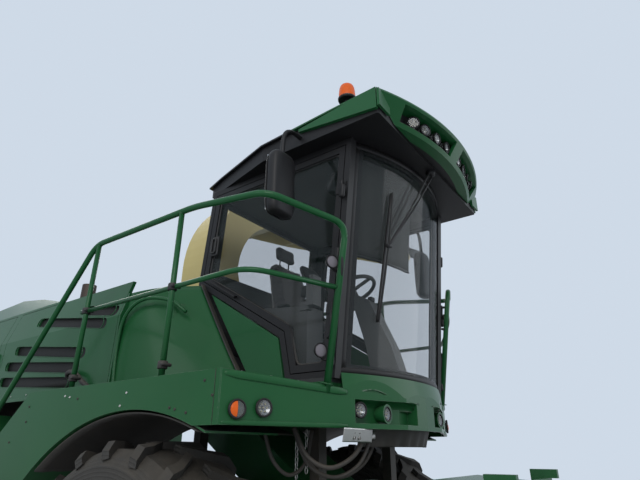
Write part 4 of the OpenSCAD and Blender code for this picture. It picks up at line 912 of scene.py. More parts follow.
def half_lens():
    """A shallow dome over half a disc: out r along the face at an angle, raised by
    8 mm (1 - (r/R)^2), with fine rings; its back is the same half disc, flat."""
    a, r = np.meshgrid(span(-np.pi / 2, np.pi / 2, 25), span(0.0005, HALF_R, 16), indexing="ij")
    raise_by = 0.008 * (1 - (r / HALF_R) ** 2) + 0.0005 * np.cos(r * 1600)
    disc = INDICATOR + (0.0008 + r * np.cos(a))[..., None] * aside + (r * np.sin(a))[..., None] * Z_AXIS
    return closed_sheet(disc + raise_by[..., None] * ahead, disc - 0.017 * ahead)


ambers = piece("amber_lenses", *both(joined([beacon, half_lens()])), "chassis", amber, "lamp_amber")
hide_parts("amber_lamps")
collar = turned([(0, -0.004), (0.064, -0.004), (0.066, 0.002), (0.066, 0.008), (0.061, 0.011), (0.0, 0.011)],
                BEACON - 0.008 * Z_AXIS, Z_AXIS, 40)
piece("beacon_collars", *both(collar), "chassis", rubber, "black_plastic")
print("ribs of a beacon", RIBS)

# %% [markdown]
# ## Cab shoulder, its dark strip and panel edges
# Between the engine hood and the cab a sheet of bodywork closes the corner. It is a ruled
# surface: straight lines join a point on the hood's front edge to the matching point on the
# slanted edge behind the door. A rubber strip covers that edge.

# %% Close the corner behind the door


def ruled(near, far, rows, thick, swell):
    """Straight lines from each point of one edge to the matching point of the other, bowed out
    by a sine of the way along, and given a thickness along +Y."""
    t = span(0, 1, rows)[:, None, None]
    under = near * (1 - t) + far * t + swell * np.sin(np.pi * t) * Y_AXIS
    return closed_sheet(under + thick * Y_AXIS, under, shut=True)


SHOULDER_Z, HOOD_TOP_Z, DOOR_TOP_Z = 2.135, 2.86, 2.905
share = span(0, 1, 16)
hood_edge = xyz(-0.645, 1.118 - 0.05 * share ** 2, SHOULDER_Z + (HOOD_TOP_Z - SHOULDER_Z) * share)
door_edge = xyz(0.352 - 0.512 * share ** 0.92, 0.785, SHOULDER_Z + (DOOR_TOP_Z - SHOULDER_Z) * share)
shoulder = ruled(hood_edge, door_edge, 24, thick=0.004, swell=0.055)
bay = swept(curve([(-0.600, 1.118, 2.14), (-0.625, 1.122, 2.40), (-0.610, 1.120, 2.62),
                   (-0.520, 1.110, 2.735), (-0.380, 1.080, 2.775), (-0.220, 1.010, 2.745),
                   (-0.120, 0.940, 2.66)], 50), circle(0.013, 12), up=Y_AXIS)
piece("cab_shoulders", *both(joined([shoulder, bay])), "chassis", paint, "paint_green")
strip = swept(door_edge + [0.016, 0.008, 0.0], superellipse(0.019, 0.006, 4.0, 16)[:, ::-1], up=Y_AXIS)
piece("shoulder_strips", *both(strip), "chassis", rubber, "black_plastic")
print("shoulder points", len(shoulder[0]))

# %% [markdown]
# ## Screens behind the slots
# Air for the engine comes in through the slots, and a punched screen behind them keeps chaff
# out. The side panel folds inward above the shoulder line, so the screen folds with it. Each
# slot has a rolled lip: a thin bead along two half circles and the straight sides between.

# %% Hang the screens
PANEL_Y, FOLD_Z, FOLD_IN = 1.130, 2.68, 0.28


def panel_y(z):
    """Half width of the louvred panel at a height: even up to the fold, then 0.28 in per
    metre of height."""
    return PANEL_Y - np.maximum(z - FOLD_Z, 0.0) * FOLD_IN


x_side, z_side = np.meshgrid(span(-2.42, -0.72, 12), span(2.20, 2.90, 15), indexing="ij")
behind = xyz(x_side, panel_y(z_side) - 0.030, z_side)
slot_screen = closed_sheet(behind, behind - 0.003 * Y_AXIS)
piece("slot_screens", *both(slot_screen), "chassis", screen, "black_plastic")
SLOTS = [(-2.207, 2.579, -1.074, 2.446), (-2.331, 2.449, -1.126, 2.336), (-2.380, 2.315, -1.201, 2.230),
         (-1.980, 2.818, -0.850, 2.647), (-1.205, 2.806, -0.740, 2.731)]  # x and z of both ends
SLOT_R = 0.0435
straight = span(0, 1, 14)[1:-1, None]
half_turn = span(np.pi / 2, 3 * np.pi / 2, 10)[:, None]
lips = []
for slot_ends in SLOTS:
    rear_end, front_end = np.array(slot_ends).reshape(2, 2)
    way = unit(front_end - rear_end)
    bulge = SLOT_R * (np.cos(half_turn) * way + np.sin(half_turn) * np.array([-way[1], way[0]]))
    rear_bow, front_bow = rear_end + way * 0.042 + bulge, front_end - way * 0.042 - bulge
    loop = np.concatenate([rear_bow, rear_bow[-1] * (1 - straight) + front_bow[0] * straight,
                           front_bow, front_bow[-1] * (1 - straight) + rear_bow[0] * straight])
    lips.append(swept(in_plane(loop, panel_y(loop[:, 1]) + 0.001), circle(0.0035, 6), up=Y_AXIS, ring=True))
piece("slot_lips", *both(joined(lips)), "chassis", paint, "paint_green")
print("slots a side", len(SLOTS))

# %% [markdown]
# ## Bolts, clamps and seams
# Small fasteners are what gives a machine its scale. A button head is a shallow dome with a
# socket in it, so one profile turned about the bolt's axis serves for all of them, and a
# table says where they go. A clamp is a collar round a post of the rail, closed by a bolt
# that lies across it.

# %% Fasten the panels


def button(at, way=Y_AXIS, r=0.008):
    """A bolt's head of a radius: a shallow dome with a round socket."""
    profile = np.array([(0, -0.3), (0.3, -0.3), (0.34, 0.45), (0.62, 0.62), (0.9, 0.36), (1.0, 0.0),
                        (1.0, -0.2)])
    return turned(profile * r, at, way, 12)


SKIRT_BOLT_Y, BROW_SLOPE = 1.4105, 0.19
bolts = [button((x, SKIRT_BOLT_Y, z)) for x, z in ((0.020, 2.055), (-0.025, 1.985), (-0.60, 2.065),
                                                   (-0.66, 2.075))]
dark_bolts = [button((x, SKIRT_BOLT_Y, z)) for x, z in (
    (0.680, 2.075), (0.745, 2.00), (0.560, 1.925), (0.470, 1.945), (0.425, 1.955), (-0.50, 2.05),
    (-1.12, 2.03), (-1.12, 1.93), (-1.30, 1.80), (-1.55, 1.50))]
bolts += [button((x - 0.016, y, 2.129 - BROW_SLOPE * (x - 0.8)), (0.2, 0, 1), 0.006)
          for x, y in ((0.845, 1.30), (0.905, 1.14), (0.965, 0.985), (1.025, 0.83))]
bolts += [button((x, 1.1575, 1.545)) for x in span(-4.36, -2.70, 8)]
bolts += [button((x, 1.1310, 2.175), r=0.006) for x in span(-2.38, -0.76, 7)]
piece("panel_bolts", *both(joined(bolts)), "chassis", steel, "steel")
piece("dark_bolts", *both(joined(dark_bolts)), "chassis", rubber, "black_plastic")
seam = swept(xyz(0.757, 1.4102, span(2.128, 1.88, 12)), superellipse(0.0012, 0.0022, 2.0, 8), up=Y_AXIS)
piece("skirt_seams", *both(seam), "chassis", rubber, "black_plastic")
clamps = []
for z in (2.20, 2.670):
    for x in (-0.72, 0.24):
        clamps += [turned(pin(0.029, 0.022, 0.003, 0.006, bore=0.0185), (x, 1.350, z), Z_AXIS, 24, ring=True),
                   turned(pin(0.011, 0.034, 0.002, 0.006), (x + 0.030, 1.350, z), Y_AXIS, 12)]
piece("rail_clamps", *both(joined(clamps)), "chassis", rubber, "black_plastic")
print("bolts a side", len(bolts) + len(dark_bolts))

# %% [markdown]
# ## Seat
# A seat like this is foam under cloth. Foam that is sewn into a cover swells between its
# seams, so each cushion starts as a slightly small block with soft corners, gets air in a
# cloth simulation, and is then held back so that no point moves more than 24 mm. The sewn
# lines are laid on afterwards, because a seam is thinner than the simulation's cells.

# %% Blow up a cushion


def soft_block(half, power=6.0, rows=34, columns=48):
    """Rings of a block with soft edges: at a height s from -1 to 1, the cross-section is a
    superellipse whose size falls as (1 - |s|^n)^(1/n)."""
    s = span(-1, 1, rows)[:, None]
    size = np.maximum((1 - np.abs(s) ** power) ** (1 / power), 0.015)
    x, y = superellipse(half[0], half[1], power, columns).T
    return xyz(x * size, y * size, s * half[2])


def leaned(points, about, angle):
    """Points turned about the Y axis through a point."""
    c, s = math.cos(angle), math.sin(angle)
    p = np.asarray(points) - about
    return xyz(p[..., 0] * c + p[..., 2] * s, p[..., 1], -p[..., 0] * s + p[..., 2] * c) + about


ORIGIN = np.zeros(3)


def cushion(name, centre, half, lean=0.0, cap=0.024):
    """A padded piece: block, remesh, cloth under pressure, movement held to the cap."""
    rings = soft_block(np.asarray(half) - 0.012)
    points, faces = grid_of(leaned(rings, ORIGIN, lean) + centre, (False, True))
    columns = rings.shape[1]
    ends = [len(points) - columns + np.arange(columns)[::-1], np.arange(columns)]
    mesh = bpy.data.meshes.new(name)
    mesh.from_pydata(points.tolist(), [], faces.tolist() + [e.tolist() for e in ends])
    pad = bpy.data.objects.new(name, mesh)
    bpy.context.collection.objects.link(pad)
    bpy.context.view_layer.objects.active = pad
    pad.select_set(True)
    cells = pad.modifiers.new("cells", "REMESH")
    cells.mode, cells.voxel_size = "VOXEL", 0.009
    bpy.ops.object.modifier_apply(modifier="cells")
    before = np.empty(len(pad.data.vertices) * 3)
    pad.data.vertices.foreach_get("co", before)
    air = pad.modifiers.new("air", "CLOTH")
    air.settings.use_pressure = True
    air.settings.uniform_pressure_force = 4.0
    air.settings.effector_weights.gravity = 0.0
    for step in range(1, 15):
        bpy.context.scene.frame_set(step)
    blown = pad.evaluated_get(bpy.context.evaluated_depsgraph_get()).data
    after = np.empty(len(blown.vertices) * 3)
    blown.vertices.foreach_get("co", after)
    pad.modifiers.remove(air)
    move = (after - before).reshape(-1, 3)
    length = np.linalg.norm(move, axis=1, keepdims=True)
    held = before.reshape(-1, 3) + move * np.minimum(1.0, cap / np.maximum(length, 1e-9))
    pad.data.vertices.foreach_set("co", held.ravel())
    pad.data.update()
    bpy.context.scene.frame_set(1)
    pad.select_set(False)
    finer = pad.modifiers.new("finer", "SUBSURF")
    finer.levels = finer.render_levels = 1
    pad.data.polygons.foreach_set("use_smooth", np.full(len(pad.data.polygons), True))
    pad.data.materials.append(cloth_weave)
    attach(pad, "chassis")
    print(name, "points", len(pad.data.vertices))
    return pad


base = cushion("seat_cushion", (0.31, 0.0, 2.622), (0.25, 0.25, 0.060))
cushion("seat_back", (0.052, 0.0, 2.975), (0.055, 0.225, 0.295), lean=-0.165)
cushion("seat_headrest", (-0.002, 0.0, 3.365), (0.038, 0.125, 0.075), lean=-0.10, cap=0.012)
cushion("seat_armrest", (0.26, 0.305, 2.722), (0.16, 0.034, 0.028), cap=0.008)
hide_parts("seat")

# %% [markdown]
# Under the cushions the seat has a pan, a bellows over its suspension, a bracket for the
# armrest and two posts for the headrest. The sewn lines are thin cords on the covers.

# %% Piping, pan and bellows
piping = []
for y in (-0.135, 0.135):
    x = span(0.09, 0.53, 24)
    piping.append(xyz(x, y, 2.6795 - 0.05 * np.abs((x - 0.31) / 0.25) ** 8))
    piping.append(leaned(xyz(0.106, y, span(2.74, 3.22, 24)), np.array([0.052, 0.0, 2.975]), -0.165))
cords = joined([swept(path, circle(0.0035, 6), up=Y_AXIS) for path in piping])
piece("seat_piping", *cords, "chassis", rubber, "black_plastic")
BELLOWS_Z, BELLOWS_WAVE = (2.17, 2.555), 105.0  # metres, and radians a metre
folds = span(*BELLOWS_Z, 60)[:, None]
fold_out = 0.010 * np.cos(folds * BELLOWS_WAVE)
x, y = superellipse(1, 1, 5.0, 40).T
bellows = xyz(0.28 + x * (0.150 + fold_out), y * (0.185 + fold_out), folds)
piece("seat_bellows", *grid_of(bellows, (False, True)), "chassis", rubber, "black_plastic")
x, y = superellipse(0.235, 0.24, 6.0, 48).T
pan = slab(xyz(x + 0.31, y, 2.552), 0.016 * Z_AXIS, 0.002)
bracket = swept(curve([(0.20, 0.24, 2.575), (0.20, 0.285, 2.60), (0.21, 0.30, 2.66),
                       (0.22, 0.305, 2.70)], 14), circle(0.012, 10), up=X_AXIS)
posts = [swept(np.array([(-0.012, y, 3.24), (-0.010, y, 3.28), (-0.006, y, 3.32)]), circle(0.006, 8),
               up=Y_AXIS) for y in (-0.06, 0.06)]
piece("seat_frame", *joined([pan, bracket, *posts]), "chassis", chassis_black, "black_plastic")
print("folds of the bellows", round(BELLOWS_WAVE * (BELLOWS_Z[1] - BELLOWS_Z[0]) / (2 * math.pi)))

# %% [markdown]
# ## Inside the cab
# Through the glass one sees the lining of the roof, the pillar monitor by the right door, and
# the small things on the console. They are simple forms, but without them the cab looks
# like an empty box.

# %% Furnish the cab


def pebble(centre, half, power=4.0, rows=15, columns=28, lean=0.0):
    """A closed block with rounded edges, from the superellipse loft."""
    rings = drawn_in(soft_block(half, power, rows, columns))
    return grid_of(leaned(rings, ORIGIN, lean) + centre, (False, True))


monitor_arm = curve([(0.975, -0.59, 3.50), (1.03, -0.60, 3.56), (1.06, -0.62, 3.64)], 12)
monitor = joined([pebble((0.955, -0.590, 3.505), (0.030, 0.085, 0.085), lean=0.5),
                  swept(monitor_arm, circle(0.012, 10), up=Y_AXIS),
                  pebble((0.640, -0.468, 2.905), (0.018, 0.105, 0.075), lean=-0.35)])
piece("cab_monitors", *monitor, "chassis", trim, "black_plastic")
knobs = [pebble(at, half) for at, half in (((0.545, -0.385, 2.735), (0.022, 0.022, 0.045)),
                                           ((0.36, -0.34, 2.742), (0.05, 0.03, 0.012)),
                                           ((0.36, -0.43, 2.742), (0.05, 0.03, 0.012)),
                                           ((0.872, 0.0, 2.806), (0.020, 0.030, 0.020)))]
stick = swept(curve([(0.50, -0.385, 2.70), (0.515, -0.385, 2.76), (0.520, -0.385, 2.80)], 10),
              circle(0.009, 10), up=Y_AXIS)
grip_head = pebble((0.524, -0.385, 2.835), (0.026, 0.022, 0.048), lean=0.2)
piece("console_controls", *joined(knobs + [stick, grip_head]), "chassis", rubber, "black_plastic")
x_in, y_in = np.meshgrid(span(-0.17, 1.10, 40), span(-0.69, 0.69, 40), indexing="ij")
dish = 3.700 - 0.030 * (1 - (y_in / 0.69) ** 4) * (1 - ((x_in - 0.46) / 0.64) ** 4)
ceiling = xyz(x_in, y_in, dish)
piece("roof_lining", *closed_sheet(ceiling, ceiling + 0.004 * Z_AXIS), "chassis", lining, "black_plastic")
WHEEL_R, WHEEL_AT, WHEEL_LEAN = 0.190, (0.700, 0.0, 2.905), -math.radians(24)
t = span(0, 2 * np.pi, 72, endpoint=False)
grooved = xyz(WHEEL_R * np.cos(t), WHEEL_R * np.sin(t), 0.0155 + 0.001 * np.cos(t * 18))
wheel = leaned(grooved, ORIGIN, WHEEL_LEAN) + WHEEL_AT
piece("wheel_grip", *swept(wheel, circle(0.0035, 6), up=(0.4, 0.0, 0.9), ring=True), "chassis", rubber,
      "black_plastic")
print("steering wheel", 2 * WHEEL_R, "m across")

# %% [markdown]
# ## Handrails with true bends
# A handrail is one tube bent on a machine, so its corners are arcs, not mitres. The straight
# runs and their corners are known from the solid rail; each corner gives way to an arc, and
# a circle is swept along the result.

# %% Bend the rails


def bent(points, radius, steps=8):
    """An open path whose inner corners become arcs that start and end a radius away, or just
    short of half way to the next corner."""
    p = np.asarray(points, float)
    mid, runs = p[1:-1], np.linalg.norm(p[1:] - p[:-1], axis=1)
    reach = np.minimum(radius, 0.45 * np.minimum(runs[:-1], runs[1:]))[:, None]
    before, after = mid + unit(p[:-2] - mid) * reach, mid + unit(p[2:] - mid) * reach
    return np.concatenate([p[:1], arcs(before, mid, after, steps), p[-1:]])


TUBE, RAIL_Y, RAIL_TOP, RAIL_MID = 0.021, 1.35, 3.200, 2.670
top_corner, rail_foot = np.array([1.180, 0.825, 3.040]), np.array([1.020, 0.818, 2.050])
main_rail = bent([(-1.930, RAIL_Y, 1.862), (-1.900, RAIL_Y, 1.880), (-1.760, RAIL_Y, 2.040),
                  (-0.760, RAIL_Y, RAIL_TOP), (0.360, RAIL_Y, RAIL_TOP - 0.010), (0.980, RAIL_Y, 3.100),
                  top_corner, rail_foot], 0.10)
part_way = (top_corner[2] - RAIL_MID + 0.030) / (top_corner[2] - rail_foot[2])
mid_rail = bent([(-0.780, RAIL_Y, RAIL_MID), (0.860, RAIL_Y, RAIL_MID),
                 top_corner + part_way * (rail_foot - top_corner)], 0.14)
straights = [[(x, RAIL_Y, 2.131), (x, RAIL_Y, 2.65), (x, RAIL_Y, RAIL_TOP - 0.008)] for x in (-0.72, 0.24)]
straights.append([(-1.920, RAIL_Y, 1.862), (-1.930, RAIL_Y, 1.53), (-1.940, RAIL_Y, 1.210)])
foot_plate = slab([(0.985, 0.800, 2.098), (1.050, 0.800, 2.085), (1.050, 0.855, 2.085),
                   (0.985, 0.855, 2.098)], 0.007 * Z_AXIS, 0.002)
rail_parts = [swept(main_rail, circle(TUBE, 16), up=(0.03, 0.05, 1.0)),
              swept(mid_rail, circle(TUBE - 0.005, 14), up=(0.0, 0.05, 1.0)),
              *[swept(path, circle(TUBE - 0.003, 16), up=Y_AXIS) for path in straights], foot_plate]
rails = piece("bent_rails", *both(joined(rail_parts)), "chassis", paint, "paint_green")
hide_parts("handrails")
print("main rail points", len(main_rail))

# %% [markdown]
# ## Brow over the front panel
# The front panel's upper edge rolls outward into a soft brow that runs from the corner lamp
# to the windscreen's foot. Its profile is a half superellipse that grows from nothing at the
# ends, so the highlight along it swells and fades.

# %% Roll the brow
BROW_POINTS, BROW_TOP_Z, SILL_Z = 60, 2.127, 1.874
corner, inner_end = np.array([0.800, 1.410]), np.array([1.085, 0.670])
along = span(0.015, 0.97, BROW_POINTS)
ground_x, ground_y = (corner + (inner_end - corner) * along[:, None]).T
swell = np.clip(np.minimum(along, 1 - along) * 9, 0.05, 1.0)[:, None] ** 0.5
half = np.pi * span(-0.5, 0.5, 13)


def rolled(path, out, up):
    """A bulge along a path: half a superellipse, so far out of the panel and up, times the
    swell, closed along a line 4 mm behind the path."""
    forward, upward = out * np.cos(half) ** 0.7 * swell, up * np.sin(half) * swell
    front = path[:, None] + forward[..., None] * ahead + upward[..., None] * Z_AXIS
    return closed_sheet(front, np.broadcast_to(path[:, None] - ahead * 0.004, front.shape))


brow = rolled(xyz(ground_x, ground_y, BROW_TOP_Z - BROW_SLOPE * (ground_x - 0.8) - 0.020), 0.011, 0.021)
sill = rolled(xyz(ground_x, ground_y, SILL_Z), 0.0077, 0.0126)
piece("front_brow", *both(brow), "chassis", paint, "paint_green")
piece("front_sill", *both(sill), "chassis", paint, "paint_green")
print("brow", round(float(np.hypot(*(inner_end - corner))), 3), "m long")

# %% [markdown]
# ## Pillar lamps, grab handle and brackets
# By the door pillar sit two small round lamps on swivel brackets and a grab handle. A lamp
# body is a turned bowl, its front ringed like the others.

# %% Mount the pillar lamps


LAMP_WAY = unit([0.92, 0.38, -0.08])


def small_lamp(at, way, r=0.040):
    """A round lamp: bowl-shaped back, rim, and a lens that bulges 5 mm."""
    body = turned([(0, -0.046), (0.012, -0.046), (0.026, -0.038), (r, -0.014), (r + 0.003, -0.006),
                   (r + 0.004, 0.002), (r, 0.005), (r - 0.003, 0.002), (r - 0.004, -0.002), (0, -0.004)],
                  at, way, 32)
    t = span(0, 1, 10)
    dome = np.stack([(r - 0.004) * t, 0.005 * (1 - t ** 2) + 0.0008 * np.cos(t * 30)], -1)
    return body, turned(np.concatenate([dome, [(r - 0.004, -0.003), (0, -0.003)]]), at, way, 32)


lamp_bodies, lamp_lenses = [], []
for x, z, foot in ((1.103, 2.797, 1.105), (1.016, 2.273, 1.040)):
    at = np.array([x, 0.865, z])
    body, lens_shape = small_lamp(at, LAMP_WAY)
    stem = curve([at - LAMP_WAY * 0.03, at + [-0.012, -0.03, -0.04], (foot, 0.80, z - 0.05)], 10)
    lamp_bodies += [body, swept(stem, circle(0.009, 10)),
                    pebble((foot, 0.798, z - 0.05), (0.018, 0.014, 0.032))]
    lamp_lenses.append(lens_shape)
grab = swept(curve([(1.098, 0.790, 2.700), (1.130, 0.820, 2.695), (1.150, 0.832, 2.760),
                    (1.150, 0.832, 2.840), (1.140, 0.820, 2.885), (1.112, 0.790, 2.880)], 30),
             circle(0.010, 12), up=Y_AXIS)
lower_grab = swept(curve([(1.015, 0.790, 2.36), (1.050, 0.82, 2.36), (1.062, 0.826, 2.42),
                          (1.058, 0.82, 2.50), (1.035, 0.790, 2.51)], 24), circle(0.009, 12), up=Y_AXIS)
piece("pillar_lamp_bodies", *both(joined([*lamp_bodies, grab, lower_grab])), "chassis", trim, "black_plastic")
piece("pillar_lamp_lenses", *both(joined(lamp_lenses)), "chassis", frosted, "lamp_clear")
print("pillar lamps a side", len(lamp_lenses))

# %% [markdown]
# ## Behind the front panel's top edge
# The curved apron below the windscreen meets the flat front panel along an arc. A strip of
# the same sheet lies behind that joint, so no light comes through: one straight row of points
# along the panel, eight millimetres behind its face, repeated at four heights and two depths.

# %% Close the joint from behind
PANEL_START, PANEL_WAY = np.array([1.0859, -0.6674]), np.array([0.344, 0.939])
PANEL_INWARD = np.array([-0.939, 0.344])


def behind_panel(along, inward, z):
    """A point behind the panel's face: along the panel from its outer end, inward square to
    it, and at a height."""
    x = PANEL_START[0] + PANEL_WAY[0] * along + PANEL_INWARD[0] * inward
    y = PANEL_START[1] + PANEL_WAY[1] * along + PANEL_INWARD[1] * inward
    return xyz(x, y, z)


BACKING_Z = (2.040, 2.088)
GAP, DEPTH = np.array([-0.0075, 0.0028, 0.0]), np.array([-0.0047, 0.0017, 0.0])  # inward by 8 mm, then 5 mm
along, up_edge = np.meshgrid(span(0.08, 0.27, 12), span(*BACKING_Z, 4), indexing="ij")
backing_face = behind_panel(along, 0.0, up_edge) + GAP
backing = closed_sheet(backing_face, backing_face + DEPTH)
piece("panel_backing", *both(backing), "chassis", paint, "paint_green", smooth=False)
print("backing", round(BACKING_Z[1] - BACKING_Z[0], 3), "m tall")

# %% [markdown]
# ## The roof of the lamp hollow
# The lamps sit in a hollow whose upper side curves back into the panel. That side is a quarter
# of an ellipse: with a turn t from 0 to 90 degrees the sheet goes in by 64 sin t and down by
# 52.5 (1 - cos t) millimetres, along the whole width of the opening.

# %% Curve the hollow's upper side
HOLLOW_TOP, HOLLOW_IN, HOLLOW_DOWN, PANEL_MIDDLE_X = 2.0205, 0.064, 0.0525, 1.245


def hollow_roof(raise_by):
    """Points of the sheet, raised by its thickness on the upper side, and kept behind the
    middle of the panel, which is flat."""
    along, t = np.meshgrid(span(0.020, 0.590, 24), span(0, np.pi / 2, 12), indexing="ij")
    roof = behind_panel(along, 0.012 + HOLLOW_IN * np.sin(t),
                        HOLLOW_TOP - HOLLOW_DOWN * (1 - np.cos(t)) + raise_by)
    return np.minimum(roof, [PANEL_MIDDLE_X, np.inf, np.inf])


roof_sheet = closed_sheet(hollow_roof(0.0), hollow_roof(0.004))
piece("hollow_roof", *both(roof_sheet), "chassis", paint, "paint_green")
print("hollow's roof points", len(roof_sheet[0]))

# %% [markdown]
# ## Under the front panel
# Below the panel hang the things that serve the crop unit: a punched plate on which hose
# couplings are parked, a rubber apron, two short chains and hydraulic hoses. Chain links are
# rings that are longer than they are wide, each turned a quarter against the last.

# %% Hang the plate, apron, chains and hoses
PLATE_WAY, COUPLINGS = (1, 0, 0.15), [(1.113, y, z) for y in (-0.675, -0.625) for z in (1.843, 1.811)]
u_plate, v_plate = np.meshgrid(span(0, 1, 40), span(0, 1, 12), indexing="ij")
plate_face = xyz(1.118 - 0.012 * v_plate, -0.790 + 0.305 * u_plate, 1.862 - 0.072 * v_plate)
plate_box = closed_sheet(plate_face, plate_face - 0.004 * X_AXIS)
holes = [turned([(0.0085, -0.001), (0.011, -0.001), (0.011, 0.0012), (0.0085, 0.0012)], at, PLATE_WAY, 20,
                ring=True) for at in COUPLINGS]
pits = [turned([(0, 0.0002), (0.0085, 0.0002), (0.0085, 0.0007), (0, 0.0007)], at, PLATE_WAY, 20)
        for at in COUPLINGS]
piece("coupling_plate", *joined([plate_box, *holes]), "chassis", steel, "steel")
piece("plate_holes", *joined(pits), "chassis", rubber, "black_plastic")
u_apron, v_apron = np.meshgrid(span(-1, 1, 60), span(0, 1, 14), indexing="ij")
apron_x = 1.170 - 0.14 * np.abs(u_apron) ** 2.4 - 0.035 * v_apron + 0.006 * np.sin(u_apron * 24) * v_apron
apron_face = xyz(apron_x, 0.470 * u_apron, 1.872 - 0.105 * v_apron)
apron = closed_sheet(apron_face, apron_face - 0.006 * X_AXIS)
piece("rubber_apron", *apron, "chassis", rubber, "black_plastic")
print("couplings", len(COUPLINGS))

# %% [markdown]
# A link of the chain is a ring 38 mm tall and 19 mm wide. It is swept like the seals, with
# the section's reference direction square to the link's plane.

# %% Hang the chains and hoses


def chain(top, links, pitch=0.030):
    """Links down a line: a ring whose long axis is upright, every other one turned."""
    wide, tall = (circle(1.0, 20) * [0.0095, 0.019]).T
    made = []
    for k in range(links):
        middle = np.asarray(top) - (0.02 + pitch * k) * Z_AXIS
        ring = xyz(wide, 0.0, tall) if k % 2 else xyz(0.0, wide, tall)
        made.append(swept(ring + middle, circle(0.0035, 6), up=Y_AXIS if k % 2 else X_AXIS, ring=True))
    return joined(made)


chains = [chain((0.640, -0.595, 1.868), 9), chain((0.700, -0.575, 1.868), 8)]
piece("hanging_chains", *joined(chains), "chassis", steel, "steel")
hose_runs = [
    [(0.78, -0.80, 1.87), (0.86, -0.78, 1.72), (0.96, -0.70, 1.66), (1.04, -0.58, 1.72), (1.08, -0.50, 1.84)],
    [(0.74, -0.76, 1.87), (0.82, -0.72, 1.68), (0.93, -0.62, 1.61), (1.03, -0.50, 1.68), (1.08, -0.42, 1.86)],
    [(0.70, -0.70, 1.87), (0.78, -0.62, 1.66), (0.88, -0.50, 1.60), (0.98, -0.36, 1.68), (1.05, -0.30, 1.86)],
    [(0.60, -0.86, 1.87), (0.66, -0.84, 1.70), (0.70, -0.74, 1.62), (0.74, -0.64, 1.68), (0.76, -0.60, 1.86)]]
hoses = [swept(curve(run, 40), circle(r, 12)) for run, r in zip(hose_runs, (0.013, 0.011, 0.010, 0.011))]
piece("front_hoses", *joined(hoses), "chassis", rubber, "black_plastic")
ferrule = [(0, -0.050), (0.016, -0.050), (0.019, -0.044), (0.019, -0.020), (0.014, -0.016), (0.014, 0.004),
           (0, 0.004)]
ends = [turned(ferrule, np.array(run[-1]), (0.1, 0.1, 1.0), 6) for run in hose_runs[:3]]
piece("hose_ends", *joined(ends), "chassis", steel, "steel")
print("hoses", len(hoses))

# %% [markdown]
# ## Wheel arches and hood hoses
# Inside each front arch a dark liner keeps stones off the tanks. It is part of a cylinder
# about the arch's own centre. The hose on each side of the hood is a circle carried along a
# smooth line, and one of the small dark things that tell the eye how large the green panels
# are.

# %% Line the arches, lay the hoses
ARCH_X, ARCH_Z, ARCH_R, LINER = 0.06, 0.355, 1.590, 0.008
a_arch, y_arch = np.meshgrid(np.radians(span(-37, 21, 50)), span(0.62, 1.392, 14), indexing="ij")


def arch(radius):
    """Points about the arch's centre: x = centre + r sin a, z = centre + r cos a."""
    return xyz(ARCH_X + radius * np.sin(a_arch), y_arch, ARCH_Z + radius * np.cos(a_arch))


ripple = 0.003 * np.sin(y_arch * 60)
liner = closed_sheet(arch(ARCH_R + ripple), arch(ARCH_R - LINER + ripple))
piece("arch_liners", *both(liner), "chassis", rubber, "black_plastic")
hood_hose = swept(curve([(-1.215, 1.120, 2.262), (-1.200, 1.150, 2.290), (-1.120, 1.168, 2.300),
                         (-1.020, 1.172, 2.270), (-0.940, 1.165, 2.215), (-0.885, 1.150, 2.180),
                         (-0.870, 1.120, 2.160)], 40), circle(0.017, 14), up=Y_AXIS)
piece("hood_hoses", *both(hood_hose), "chassis", rubber, "black_plastic")
print("liner points", len(liner[0]))

# %% [markdown]
# ## Wheels
# Each rim is held by a ring of nuts on the disc, around a hub cap. A nut is six-sided, so it
# is a profile turned in six steps, where its washer takes twenty-four. Everything here rides
# on its wheel, and turns with it.

# %% Nuts, caps and valves
AXLES = [  # name, axle x and z, face of the disc, face of the hub, bolt circle, cap radius, valve's place
    ("front", FRONT_AXLE, 1.198, 1.230, 0.165, 0.104, 0.315),
    ("rear", REAR_AXLE, 1.188, 1.220, 0.138, 0.084, 0.270)]
WASHER = [(0, 0.0), (0.020, 0.0), (0.020, 0.003), (0.0155, 0.004)]
NUT = [(0.0155, 0.003), (0.0155, 0.018), (0.012, 0.022), (0.007, 0.022), (0.007, 0.030), (0, 0.032)]
CLIP = [(0, 0), (0.012, 0), (0.012, 0.008), (0.009, 0.012), (0, 0.012)]


def dress_wheel(body, side, axle, disc_y, hub_y, bolt_r, cap_r, valve_r):
    """Ten nuts on their circle, a hollow hub cap, and a valve with six clips round it; the
    side is 1 for left and -1 for right."""
    (x, z), way, disc = axle, side * Y_AXIS, side * disc_y
    centre = np.array([x, disc, z])
    nuts = []
    for c, s in circle(bolt_r, 10):
        nuts += [turned(WASHER, centre + [c, 0, s], way, 24), turned(NUT, centre + [c, 0, s], way, 6)]
    piece(body + "_nuts", *joined(nuts), body, steel, "steel")
    cap = turned([(cap_r, 0.0), (cap_r, 0.010), (cap_r - 0.006, 0.018), (cap_r * 0.62, 0.026),
                  (cap_r * 0.58, 0.034), (cap_r * 0.30, 0.038), (0, 0.039), (0, 0.033), (cap_r * 0.55, 0.028),
                  (cap_r - 0.014, 0.010), (cap_r - 0.008, 0.0)], (x, side * hub_y, z), way, 40, ring=True)
    piece(body + "_cap", *cap, body, rim_yellow, "paint_yellow")
    stem = swept(curve([centre + [valve_r, 0, 0.10], centre + [valve_r, side * 0.03, 0.105],
                        centre + [valve_r - 0.01, side * 0.06, 0.108]], 12), circle(0.005, 8))
    clips = [turned(CLIP, centre + (bolt_r + 0.055) * xyz(math.cos(a), 0, math.sin(a)), way, 16)
             for a in 0.3 + np.arange(6) * math.pi / 3]
    piece(body + "_valve", *joined([stem, *clips]), body, chassis_black, "frame_black")


